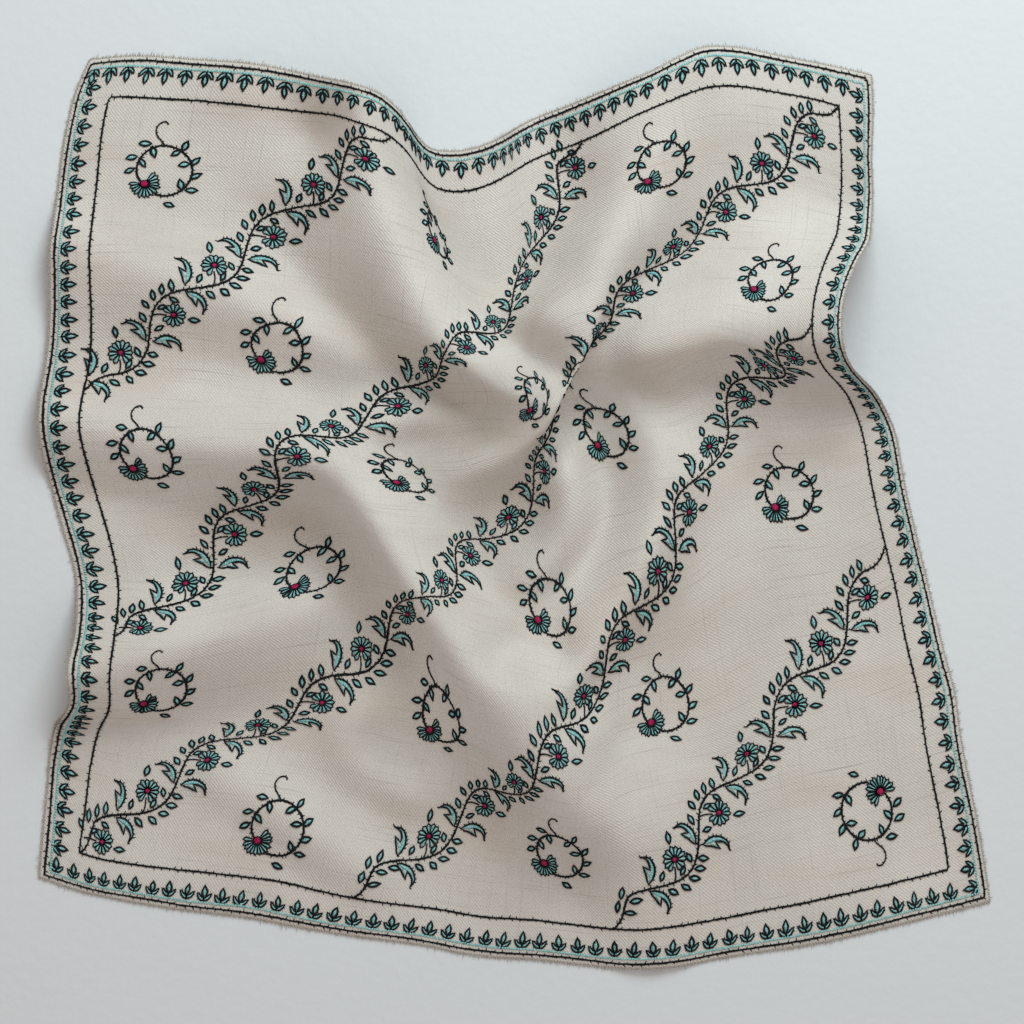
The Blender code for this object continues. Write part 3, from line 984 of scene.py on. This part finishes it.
def embroider(name, work, yarn_finish):
    """Gathers the work of several needles into one piece."""
    points, polygons, coordinates, count = [], [], [], 0
    for some_points, some_polygons, some_coordinates in work:
        points.append(some_points)
        polygons += [group + count for group in some_polygons]
        coordinates += some_coordinates
        count += len(some_points)
    return make_piece(name, np.concatenate(points), polygons, coordinates, yarn_finish)


def placed(shape, centres, angles, lengths=1.0, widths=1.0):
    """Copies of a small shape (steps, 2): scaled in length and width, turned by an angle, moved."""
    centres = np.asarray(centres, float)
    angles = np.broadcast_to(angles, len(centres))[:, None]
    x = shape[None, :, 0] * np.broadcast_to(lengths, len(centres))[:, None]
    y = shape[None, :, 1] * np.broadcast_to(widths, len(centres))[:, None]
    cosine, sine = np.cos(angles), np.sin(angles)
    return np.stack([x * cosine - y * sine, x * sine + y * cosine], axis=-1) + centres[:, None, :]


def wavering(paths, most):
    """Paths with each step moved a little, as no hand sews dead straight."""
    return paths + random.normal(0, most, paths.shape)


def evenly(path, spacing, closed=False):
    """A path (steps, 2) with its steps about one spacing apart."""
    path = np.asarray(path, float)
    if closed:
        path = np.vstack([path, path[:1]])
    run = np.concatenate([[0], np.cumsum(np.linalg.norm(np.diff(path, axis=0), axis=1))])
    count = int(round(run[-1] / spacing)) + (0 if closed else 1)
    places = np.linspace(0, run[-1], count, endpoint=not closed)
    return np.stack([np.interp(places, run, column) for column in path.T], axis=1)


def curved(points, steps):
    """A smooth curve through a few points."""
    points = np.asarray(points, float)
    number = np.arange(len(points))
    places = np.linspace(0, len(points) - 1, steps)
    return np.stack([smooth_through(number, column, places) for column in points.T], axis=1)


def barbs(paths, length, every=1, closed=True, both=False):
    """The small ends that stick out of a black line where the needle went down: a short pointed
    stitch to the right of the path at every so many steps, or on both sides in turn."""
    ahead = headings(paths, closed)
    right = np.stack([ahead[..., 1], -ahead[..., 0]], axis=-1)
    if both:
        right = right * np.where(np.arange(paths.shape[1]) // every % 2, 1, -1)[None, :, None]
    start = paths[:, ::every].reshape(-1, 2)
    reach = length * random.uniform(0.55, 1.25, (len(start), 1))
    lean = random.uniform(-0.2, 0.8, (len(start), 1))
    end = start + (right[:, ::every].reshape(-1, 2) + ahead[:, ::every].reshape(-1, 2) * lean) * reach
    return stitched(np.stack([start, end], axis=1), BARB_WIDTH, BARB_RISE, sides=3)


def widths_along(widths, steps):
    """A few widths, read off evenly at more steps."""
    number = np.arange(len(widths))
    return np.interp(np.linspace(0, number[-1], steps), number, widths)


def dashes(path, share):
    """Stitches (count, 2, 2) along a closed path, each a share of the way from step to step."""
    return np.stack([path, (1 - share) * path + share * np.roll(path, -1, axis=0)], axis=1)


def unit(angles):
    """Unit vectors at the angles."""
    return np.stack([np.cos(angles), np.sin(angles)], axis=-1)


# %% [markdown]
# ### Leaves
#
# A small leaf is a black outline with a pointed tip, filled with teal laid along it. The big
# leaves of the vines are bent like commas and have a thumb on the hollow side.

# %% Leaf shapes
OUTLINE = 0.42
OUTLINE_RISE = 0.24
LEAF_BARB = 0.62
LEAF_WAVER = 0.05
# How far the fill stays inside the outline, and how high it stands
FILL_INSET = 0.3
FILL_RISE = 0.17
# A leaf 1 long and 1 wide, from one tip along one edge to the other tip
LEAF_EDGE = ((-0.55, 0.0), (-0.36, 0.25), (-0.18, 0.43), (0.0, 0.50), (0.16, 0.42), (0.33, 0.23), (0.55, 0.0))
LEAF = np.vstack([LEAF_EDGE, np.array(LEAF_EDGE[-2:0:-1]) * (1, -1)])
FILL_STEPS = 6
fill_run = np.linspace(-0.38, 0.38, FILL_STEPS)
LEAF_FILL = np.stack([fill_run, np.zeros(FILL_STEPS)], axis=-1)
LEAF_FILL_WIDTH = 1 - np.abs(2 * fill_run) ** 1.5

# A big leaf from base (0, 0) to tip (1, 0): its outer edge, then back by the thumb
BIG_LEAF = (
    (0, 0), (0.10, 0.14), (0.21, 0.235), (0.33, 0.30), (0.46, 0.33), (0.58, 0.335), (0.70, 0.315),
    (0.82, 0.28), (0.92, 0.20), (1.0, 0.0), (0.91, 0.12), (0.81, 0.18), (0.70, 0.20), (0.58, 0.195),
    (0.44, 0.16), (0.54, 0.08), (0.66, 0.0), (0.50, 0.0), (0.32, 0.01), (0.16, -0.01),
)
BIG_LEAF_OUTER = 10
BIG_LEAF_BULGE = 1.1
BIG_LEAF_BARB = 0.85
# Its two fills, with their half widths in mm on a leaf of the chart's length
LOBE = ((0.06, 0.05), (0.20, 0.13), (0.36, 0.215), (0.53, 0.26), (0.70, 0.26), (0.84, 0.22), (0.95, 0.10))
LOBE_WIDTH = np.array((0.35, 0.95, 1.05, 0.72, 0.62, 0.5, 0.15)) * 0.72
THUMB = ((0.26, 0.075), (0.38, 0.075), (0.50, 0.045), (0.60, 0.018))
THUMB_WIDTH = np.array((0.5, 0.55, 0.38, 0.12)) * 0.5
THUMB_RISE = 0.15
CHART_LENGTH = 10.5
LOBE_STEPS, THUMB_STEPS = 10, 5


def small_leaves(centres, angles, lengths, widths):
    """Outlines, barbs and fills of small leaves."""
    count = len(centres)
    angles = angles + random.normal(0, 0.08, count)
    lengths = lengths * random.uniform(0.92, 1.08, count)
    widths = widths * random.uniform(0.88, 1.12, count)
    edges = wavering(placed(LEAF, centres, angles, lengths, widths), LEAF_WAVER)
    line = OUTLINE * random.uniform(0.85, 1.15, (count, 1))
    outline = stitched(edges, line, OUTLINE_RISE, closed=True)
    spine = placed(LEAF_FILL, centres, angles, lengths)
    half = LEAF_FILL_WIDTH * (widths[:, None] / 2 - FILL_INSET)
    fill = stitched(spine, half, FILL_RISE * LEAF_FILL_WIDTH**0.5, sides=5)
    return [outline, barbs(edges, LEAF_BARB, every=2)], [fill]


def big_leaves(bases, tips, side):
    """Outlines, barbs and fills of big leaves from bases to tips, which bulge to the left of that
    direction where side is 1, and to the right where it is -1."""
    reach = tips - bases
    lengths = np.linalg.norm(reach, axis=1)
    angles = np.arctan2(reach[:, 1], reach[:, 0])
    widths = lengths * side * BIG_LEAF_BULGE
    flipped = (side < 0)[:, None, None]
    edges = placed(np.array(BIG_LEAF), bases, angles, lengths, widths)
    edges = np.where(flipped, edges[:, ::-1], edges)
    outline = stitched(wavering(edges, LEAF_WAVER), OUTLINE, OUTLINE_RISE, closed=True)
    outer = np.where(flipped, edges[:, :-BIG_LEAF_OUTER - 1:-1], edges[:, BIG_LEAF_OUTER - 1::-1])
    ends = barbs(outer, BIG_LEAF_BARB, closed=False)
    scale = lengths[:, None] / CHART_LENGTH
    fills = []
    for spine, half, steps, rise in (
        (LOBE, LOBE_WIDTH, LOBE_STEPS, FILL_RISE),
        (THUMB, THUMB_WIDTH, THUMB_STEPS, THUMB_RISE),
    ):
        path = placed(curved(spine, steps), bases, angles, lengths, widths)
        fills.append(stitched(path, widths_along(half, steps) * scale, rise, sides=5))
    return [outline, ends], fills


# %% [markdown]
# ### Daisies
#
# A daisy is a ring of narrow petals round a magenta knot, with a gap where its stalk comes in.
# Each petal has a black outline that it nearly shares with the next.

# %% Daisy shapes
# Half a petal's outline: share of the way from knot to rim, and share of the petal's half width
PETAL = ((0.20, 0.10), (0.42, 0.45), (0.66, 0.85), (0.84, 1.0), (0.95, 0.62), (1.0, 0.0))
PETAL_FILL = ((0.26, 0.15), (0.45, 0.50), (0.65, 0.85), (0.82, 0.9), (0.93, 0.35))
PETAL_LINE = 0.29
PETAL_RISE = 0.2
PETAL_HALF = 0.40
PETAL_FILL_SHARE = 0.56
# The stitch that leaves a petal's tip: how far it leans, in radians, and how far out it goes
TIP_LEAN = 0.09
TIP_REACH = 0.55
TIP_WIDTH = np.array([0.24, 0.06])
TIP_RISE = np.array([0.18, 0.05])
KNOT_WIDTH = (0.45, 0.9, 1.05, 0.9, 0.45)
KNOT_RISE = 0.27
HEART_STEPS = 10
HEART_SHARE = 1.25
HEART_LINE = 0.2


def daisies(centres, radius, gap_angles, gap_width, petal_count, knot_share):
    """Petals of daisies with their outlines, and the knots. Petals share out the full turn less
    gap_width, beginning after the gap at gap_angles. A knot is knot_share of its daisy's radius."""
    pitch = (2 * np.pi - gap_width) / petal_count
    number = np.arange(petal_count)
    angles = gap_angles[:, None] + gap_width / 2 + (number[None, :] + 0.5) * pitch
    angles = (angles + random.normal(0, 0.035, angles.shape)).ravel()
    hearts = np.repeat(centres, petal_count, axis=0)
    reach = radius * random.uniform(0.93, 1.05, len(hearts))
    half = radius * pitch * PETAL_HALF
    rim = np.array(PETAL)
    rim = np.vstack([rim, rim[-2::-1] * (1, -1)])
    edges = wavering(placed(rim, hearts, angles, reach, half), 0.035)
    outline = stitched(edges, PETAL_LINE, PETAL_RISE, closed=True)
    fill = np.array(PETAL_FILL)
    spine = placed(fill * (1, 0), hearts, angles, reach)
    petals = stitched(spine, fill[:, 1] * half * PETAL_FILL_SHARE, FILL_RISE, sides=5)
    tips = hearts + unit(angles) * reach[:, None]
    tip_ends = hearts + unit(angles + TIP_LEAN) * (reach[:, None] + TIP_REACH)
    points = stitched(np.stack([tips, tip_ends], axis=1), TIP_WIDTH, TIP_RISE, sides=3)

    # A knot is a fat short stitch, twice as wide in the middle as at its ends. A ring goes round it.
    size = radius * knot_share
    run = np.stack([np.linspace(-1, 1, len(KNOT_WIDTH)), np.zeros(len(KNOT_WIDTH))], axis=-1) * size
    knot = stitched(run + centres[:, None, :], np.array(KNOT_WIDTH) * size, KNOT_RISE, sides=8)
    ring = unit(2 * np.pi * np.arange(HEART_STEPS) / HEART_STEPS) * size * HEART_SHARE
    heart = stitched(ring + centres[:, None, :], HEART_LINE, PETAL_RISE, closed=True)
    return [outline, points, heart], [petals], [knot]


# %% [markdown]
# ### The vines
#
# Five vines cross the square on its diagonals. A vine is one wave of black stem, and every half
# wave carries the same things: a daisy on a stalk inside the bend with a leaf beyond it, small
# leaves along both sides, and a pair of big leaves where the stem crosses over. The next half wave
# has them on the other side, so one chart is enough, mirrored at every second daisy.

# %% Vine chart
DAISY_PITCH = 22.25
WAVE = 5.0
WAVE_LAG = 1.2
# The wave fades out over this last stretch, and the stem runs this far past the vine's ends.
WAVE_FADE = 9.0
STEM_OVER = 2.2
STEM_STEP = 0.9
STEM_HALF = 0.40
STEM_RISE = 0.26
STALK_HALF = 0.34
STALK_RISE = 0.22
DAISY_RADIUS = 4.15
# Where a daisy's gap is from the vine's direction, how wide it is, and its petals
GAP_ANGLE = np.radians(226)
GAP_WIDTH = np.radians(38)
PETALS = 12
KNOT_SHARE = 0.17
# Leaves nearer than this to the vine's ends are left out, and so are daisies nearer to its far end
# than the second.
LEAF_CLEAR = 2.5
DAISY_CLEAR = 4.0

# Centre along and across, angle in degrees, length, width
VINE_LEAVES = (
    (4.0, 8.1, 48, 3.8, 1.8),
    (-7.0, 1.8, 22, 3.2, 1.6),
    (-0.8, -2.8, 18, 2.9, 1.6),
    (4.0, -1.8, 74, 3.1, 1.7),
    (-8.0, -4.8, -76, 3.7, 1.7),
    (-3.9, -7.3, -78, 3.5, 1.7),
    (0.2, -7.9, -55, 3.8, 1.7),
    (3.8, -7.4, -48, 3.8, 1.7),
    (7.0, -6.2, -55, 3.7, 1.7),
)
# Base along and across, tip along and across, side of the bulge
VINE_BIG_LEAVES = (
    (-12.0, 3.4, -7.5, 12.1, -1),
    (-13.5, 1.3, -14.6, -8.2, 1),
)
STALK = ((-5.6, -3.1), (-4.2, -2.3), (-3.0, -1.2), (-1.7, 0.5))
# A plain stretch of stem: where its first pair of leaves is, how far before the first daisy it ends,
# how far after the last daisy and before the vine's end another lies, and how far apart its pairs of
# leaves are before and after. In a pair, the leaf on the right is a little farther on.
BARE_START, BARE_STOP = 4.0, 16
BARE_AFTER, BARE_END = 10, 2
BARE_PITCH, BARE_PITCH_AFTER = 4.2, 4.0
BARE_SHIFT = 1.6
BARE_OUT = 2.7
BARE_LEAN = np.radians(38)
BARE_LEAF = (3.7, 1.7)


def vine(start, end, first, pitch, side):
    """One vine's black, teal and magenta work. Along the vine, the stem swings across by WAVE
    times the cosine of pi times the distance from a trough over the pitch."""
    start = np.array(start, float)
    length, ahead, left = along_vine(start, end)
    heading = np.arctan2(ahead[1], ahead[0])

    def on_square(along, across):
        return start + np.asarray(along)[..., None] * ahead + np.asarray(across)[..., None] * left

    count = int((length - first - DAISY_CLEAR) // pitch) + 1
    hearts = first + pitch * np.arange(count)
    sides = side * (-1.0) ** np.arange(count)
    stretch = pitch / DAISY_PITCH

    run = np.arange(-STEM_OVER, length + STEM_OVER, STEM_STEP)
    ease = np.clip(np.minimum(run, length - run) / WAVE_FADE, 0, 1)
    swing = -side * WAVE * np.cos(np.pi * (run - first - WAVE_LAG) / pitch) * ease
    stem = wavering(on_square(run, swing)[None], 0.07)
    black = [
        stitched(stem, STEM_HALF * random.uniform(0.75, 1.25, (1, len(run))), STEM_RISE, sides=5),
        barbs(stem, 1.0, closed=False, both=True),
    ]
    teal = []

    # The charts, once for each daisy
    chart = np.array(VINE_LEAVES)
    along = hearts[:, None] + chart[:, 0] * stretch
    across = sides[:, None] * chart[:, 1]
    angle = sides[:, None] * np.radians(chart[:, 2]) + heading
    kept = (along > LEAF_CLEAR) & (along < length - LEAF_CLEAR)
    sizes = [np.broadcast_to(chart[:, column], kept.shape)[kept] for column in (3, 4)]
    lines, fills = small_leaves(on_square(along, across)[kept], angle[kept], *sizes)
    black += lines
    teal += fills

    chart = np.array(VINE_BIG_LEAVES)
    base_along = hearts[:, None] + chart[:, 0] * stretch
    kept = base_along > 0
    bases = on_square(base_along, sides[:, None] * chart[:, 1])[kept]
    tips = on_square(hearts[:, None] + chart[:, 2] * stretch, sides[:, None] * chart[:, 3])[kept]
    lines, fills = big_leaves(bases, tips, (sides[:, None] * chart[:, 4])[kept])
    black += lines
    teal += fills

    stalk = curved(STALK, 8)
    stalks = on_square(hearts[:, None] + stalk[:, 0], sides[:, None] * stalk[:, 1])
    black.append(stitched(wavering(stalks, 0.04), STALK_HALF, STALK_RISE))
    centres = on_square(hearts, sides * FLOWER_OUT)
    gaps = heading + GAP_ANGLE * sides
    lines, fills, knots = daisies(centres, DAISY_RADIUS, gaps, GAP_WIDTH, PETALS, KNOT_SHARE)
    black += lines
    teal += fills

    # A plain leafy stretch where the first daisy starts late or the last one ends early
    last = hearts[-1] + BARE_AFTER
    before = BARE_START + BARE_PITCH * np.arange((first - BARE_STOP) // BARE_PITCH)
    after = last + BARE_PITCH_AFTER * np.arange((length - last - BARE_END) // BARE_PITCH_AFTER)
    bare = np.concatenate([before, after])
    if len(bare):
        along = np.concatenate([bare, bare + BARE_SHIFT])
        lean = np.repeat([1.0, -1.0], len(bare))
        across = np.interp(along, run, swing) + lean * BARE_OUT
        lines, fills = small_leaves(on_square(along, across), heading + lean * BARE_LEAN, *BARE_LEAF)
        black += lines
        teal += fills
    return black, teal, knots


vine_black, vine_teal, vine_magenta = [], [], []
for row in VINES:
    lines, fills, knots = vine(*row[:5])
    vine_black += lines
    vine_teal += fills
    vine_magenta += knots

vine_lines = embroider("vine_lines", vine_black, black_yarn)
vine_fills = embroider("vine_fills", vine_teal, teal_yarn)

# %% [markdown]
# ### The wreaths
#
# A wreath is a ring of stem that starts in the heart of a daisy and comes round to its other side.
# Twelve leaves sit on it, turn and turn about inside and outside. One more lies loose below, and a
# curl springs from the top.

# %% Wreath chart
RING_RADIUS = 8.8
RING_HALF = 0.38
RING_STEPS = 62
# The ring's first and last angle, and over how many radians it eases out from the daisy
RING_TURN = (219, -106)
RING_EASE = 0.2
WREATH_DAISY = (-5.9, -4.9)
WREATH_DAISY_RADIUS = 4.9
WREATH_GAP_ANGLE = np.radians(118)
WREATH_GAP_WIDTH = np.radians(112)
WREATH_PETALS = 14
WREATH_KNOT_SHARE = 0.215
WREATH_LEAF = (3.6, 1.75)

# Centre x and y from the middle of the ring, angle in degrees
WREATH_LEAVES = (
    (8.9, -6.5, 0), (5.5, -4.6, 107), (10.0, -1.3, 27), (6.1, 2.6, 8), (9.6, 3.9, 52), (3.3, 6.5, 37),
    (5.9, 9.1, 65), (-3.8, 6.4, -77), (-6.8, 9.1, -2), (-7.0, 2.4, -52), (-10.7, 4.1, 9), (-11.0, -0.5, 31),
    (2.3, -11.9, -21),
)
CURL = ((-0.5, 8.8), (-1.6, 10.2), (-3.2, 11.9), (-3.9, 14.0), (-3.1, 16.2), (-1.5, 17.0), (-0.3, 16.2))

# Where the middle of each wreath is seen, across and down the view, and its turn in degrees
WREATHS = (
    (163, 170, 0), (277, 347, 0), (147, 455, 0), (436, 235, 0), (313, 572, 0), (160, 690, 0),
    (443, 717, 0), (277, 829, 0), (560, 855, 0), (665, 705, 0), (552, 608, 0), (407, 476, 0),
    (540, 397, 0), (606, 431, 0), (661, 166, 0), (770, 281, 0), (790, 492, 0), (868, 812, 180),
)


def wreaths():
    """The black, teal and magenta work of every wreath. The ring is a circle whose radius eases
    from the daisy's own distance out to RING_RADIUS as it leaves the daisy."""
    table = np.array(WREATHS, float)
    middles, turns = under_view(table[:, :2]), np.radians(table[:, 2])
    print("wreaths on the flat cloth, mm:", middles.round().astype(int).tolist())
    heart = np.array(WREATH_DAISY)
    angle = np.radians(np.linspace(*RING_TURN, RING_STEPS))
    inward = (RING_RADIUS - np.hypot(*heart)) * np.exp(-(angle[0] - angle) / RING_EASE)
    ring = unit(angle) * (RING_RADIUS - inward)[:, None]
    rings = wavering(placed(ring, middles, turns), 0.06)
    curls = wavering(placed(curved(CURL, 15), middles, turns), 0.04)
    black = [
        stitched(rings, RING_HALF * random.uniform(0.8, 1.25, rings.shape[:2]), STALK_RISE, sides=5),
        barbs(rings, 0.85, closed=False, both=True),
        stitched(curls, STALK_HALF, STALK_RISE),
        barbs(curls, 0.6, every=2, closed=False, both=True),
    ]
    chart = np.array(WREATH_LEAVES)
    spots = placed(chart[:, :2], middles, turns).reshape(-1, 2)
    lean = (turns[:, None] + np.radians(chart[:, 2])).ravel()
    leaf_lines, leaf_fills = small_leaves(spots, lean, *WREATH_LEAF)
    centres = placed(heart[None], middles, turns)[:, 0]
    gaps = turns + WREATH_GAP_ANGLE
    lines, fills, knots = daisies(
        centres, WREATH_DAISY_RADIUS, gaps, WREATH_GAP_WIDTH, WREATH_PETALS, WREATH_KNOT_SHARE
    )
    return black + leaf_lines + lines, leaf_fills + fills, knots


wreath_black, wreath_teal, wreath_magenta = wreaths()
wreath_lines = embroider("wreath_lines", wreath_black, black_yarn)
wreath_fills = embroider("wreath_fills", wreath_teal, teal_yarn)
knots = embroider("daisy_knots", vine_magenta + wreath_magenta, magenta_yarn)

# %% [markdown]
# ### The border
#
# A black line runs two millimetres inside the cut edge and another thirteen millimetres in.
# Between them stands a row of sprigs on each side: a leaf that points inward, cupped from outside
# by two curved ones. Turquoise running stitches pass behind their backs.

# %% Border chart
OUTER_LINE = 1.8
RUNNING_LINE = 3.5
SPRIG_ROW = 6.3
INNER_LINE = 13.4
LINE_HALF = 0.45
LINE_RISE = 0.2
BARB_SPACING = 1.4
STITCH_PITCH = 0.9
STITCH_SHARE = 0.75
STITCH_HALF = 0.47
STITCH_RISE = 0.22

# Each hem's row of sprigs: its turn in degrees, where it starts and ends, and how many it has
SPRIG_ROWS = (
    (0, -160.5, 153.5, 50),
    (90, -152.5, 155.0, 49),
    (180, -151.0, 159.5, 50),
    (270, -157.0, 159.5, 50),
)

# One curved leaf of a sprig, in mm: x along the hem, y out towards it
CUP = (
    (0.1, 2.3), (0.95, 2.15), (1.75, 1.5), (2.25, 0.65), (2.5, -0.45), (1.85, -0.05), (1.35, 0.45),
    (0.8, 0.9), (0.1, 1.15),
)
CUP_FILL = ((0.35, 1.7), (0.95, 1.5), (1.6, 0.85), (2.1, 0.1))
CUP_FILL_WIDTH = (0.24, 0.34, 0.32, 0.16)
CUP_LINE = 0.39
CUP_RISE = 0.21
CUP_STEPS = 5
# The leaf in the cup: how far inward it is, and its size
SPRIG_LEAF_IN = 0.8
SPRIG_LEAF = (3.9, 1.75)


def square_line(inset, spacing):
    """A line all round the square at one distance from its edge, with square corners."""
    side = HALF_SIDE - inset
    return evenly([(-side, -side), (side, -side), (side, side), (-side, side)], spacing, closed=True)


def hem_waver(path, most, reach):
    """Moves a closed line by slow waves with random phases, as a line sewn by eye wanders."""
    run = np.linspace(0, 2 * np.pi, len(path), endpoint=False)
    waves = np.arange(reach, reach * 6, reach)
    phases = random.uniform(0, 2 * np.pi, (2, len(waves)))
    moved = [(np.sin(run[:, None] * waves + phase) / len(waves) ** 0.5).sum(axis=1) for phase in phases]
    return path + most * np.stack(moved, axis=1)


def border():
    """The black and teal work of the border: its two lines, and the sprigs between them."""
    black, teal = [], []
    for inset in (OUTER_LINE, INNER_LINE):
        line = wavering(hem_waver(square_line(inset, BARB_SPACING), 0.12, 9)[None], 0.05)
        half = LINE_HALF * random.uniform(0.8, 1.25, line.shape[:2])
        black.append(stitched(line, half, LINE_RISE, closed=True))
        black.append(barbs(line, 0.95, both=True))

    spots, turns = [], []
    for degrees, first, last, count in SPRIG_ROWS:
        row = np.stack([np.linspace(first, last, count), np.full(count, HALF_SIDE - SPRIG_ROW)], axis=-1)
        spots.append(placed(row, [(0, 0)], np.radians(degrees))[0])
        turns.append(np.full(count, np.radians(degrees)))
    spots, turns = np.concatenate(spots), np.concatenate(turns)
    spots = spots + random.normal(0, 0.16, spots.shape)
    turns = turns + random.normal(0, 0.07, len(spots))
    size = random.uniform(0.92, 1.08, len(spots))
    cup, cup_fill = np.array(CUP), curved(CUP_FILL, CUP_STEPS)
    fill_width = widths_along(CUP_FILL_WIDTH, CUP_STEPS)
    for hand in (1, -1):
        edges = wavering(placed(cup, spots, turns, size * hand, size), 0.04)
        black.append(stitched(edges, CUP_LINE, CUP_RISE, closed=True))
        black.append(barbs(edges[:, ::-hand], 0.55, every=3))
        spines = placed(cup_fill, spots, turns, size * hand, size)
        teal.append(stitched(spines, fill_width, FILL_RISE, sides=5))
    inward = unit(turns - np.pi / 2)
    lines, fills = small_leaves(spots + inward * SPRIG_LEAF_IN, turns - np.pi / 2, *SPRIG_LEAF)
    return black + lines, teal + fills


border_black, border_teal = border()
border_lines = embroider("border_lines", border_black, black_yarn)
border_fills = embroider("border_fills", border_teal, teal_yarn)

running = hem_waver(square_line(RUNNING_LINE, STITCH_PITCH), 0.15, 7)
running_stitches = stitched(wavering(dashes(running, STITCH_SHARE), 0.07), STITCH_HALF, STITCH_RISE)
running_line = embroider("running_line", [running_stitches], turquoise_yarn)

# %% [markdown]
# ### The cut edge
#
# The square is cut from the loom piece and hardly hemmed. Yarn ends stick out past the last
# threads all round, each a little longer or shorter than the next.

# %% Fringe
FRINGE_PITCH = 0.6
# How far inside the edge a yarn end begins, and the scales of its random reach and sway
FRINGE_FOOT = 0.5
FRINGE_REACH = 0.17
FRINGE_SWAY = 0.45
# Half widths and rises of a yarn end at its foot, midway and at its tip
FRINGE_WIDTH = np.array([0.16, 0.12, 0.05])
FRINGE_RISE = np.array([0.14, 0.11, 0.04])


def fringe():
    """Short yarn ends: three steps of a thin yarn, from inside the edge to a random way out."""
    places = np.arange(-HALF_SIDE + 0.4, HALF_SIDE - 0.4, FRINGE_PITCH)
    sides = np.radians([0, 90, 180, 270])
    row = np.stack([places, np.full(len(places), HALF_SIDE)], axis=-1)
    feet = placed(row, np.zeros((4, 2)), sides).reshape(-1, 2)
    outward = np.repeat(unit(sides + np.pi / 2), len(places), axis=0)
    sideways = np.stack([-outward[:, 1], outward[:, 0]], axis=-1)
    reach = random.gamma(3.0, FRINGE_REACH, (len(feet), 1))
    sway = random.normal(0, FRINGE_SWAY, (len(feet), 1))
    midway = feet + outward * reach * 0.4 + sideways * sway * 0.3
    tips = feet + outward * reach + sideways * sway
    paths = np.stack([feet - outward * FRINGE_FOOT, midway, tips], axis=1)
    return stitched(paths, FRINGE_WIDTH, FRINGE_RISE, sides=3)


wool_yarn = yarn("frayed wool", (0.40, 0.35, 0.29, 1), (0.62, 0.56, 0.49, 1), 0.8, 0.8, 0.9)
edge_fringe = embroider("edge_fringe", [fringe()], wool_yarn)

# %% [markdown]
# ## The table
#
# The square lies on heavy white paper with a faint tooth. It isn't part of the object.

# %% Paper
PAPER_SIDE = 6.0
TOOTH_DEPTH = 0.4
PAPER_DARK = (0.79, 0.805, 0.83, 1)
PAPER_PALE = (0.82, 0.835, 0.86, 1)


def paper_finish():
    """Heavy paper with a cool white, a faint tooth and a slow unevenness."""
    paper = Finish("paper")
    place = paper.own_place()
    tooth = paper.noise(place, 260.0, 4.0)
    cloud = paper.noise(place, 9.0, 3.0)
    shade = ((tooth - 0.5) * 0.35 + (cloud - 0.5) * 0.5 + 0.5).clamp()
    paper.put(Base_Color=paper.mix(shade, PAPER_DARK, PAPER_PALE), Roughness=0.9)
    paper.bump(tooth, 0.5, TOOTH_DEPTH * MM)
    return paper.material


paper_mesh = bpy.data.meshes.new("paper")
edge = PAPER_SIDE / 2
corners = [(-edge, -edge, 0), (edge, -edge, 0), (edge, edge, 0), (-edge, edge, 0)]
paper_mesh.from_pydata(corners, [], [(0, 1, 2, 3)])
paper_mesh.materials.append(paper_finish())
paper = bpy.data.objects.new("paper", paper_mesh)
collection.objects.link(paper)
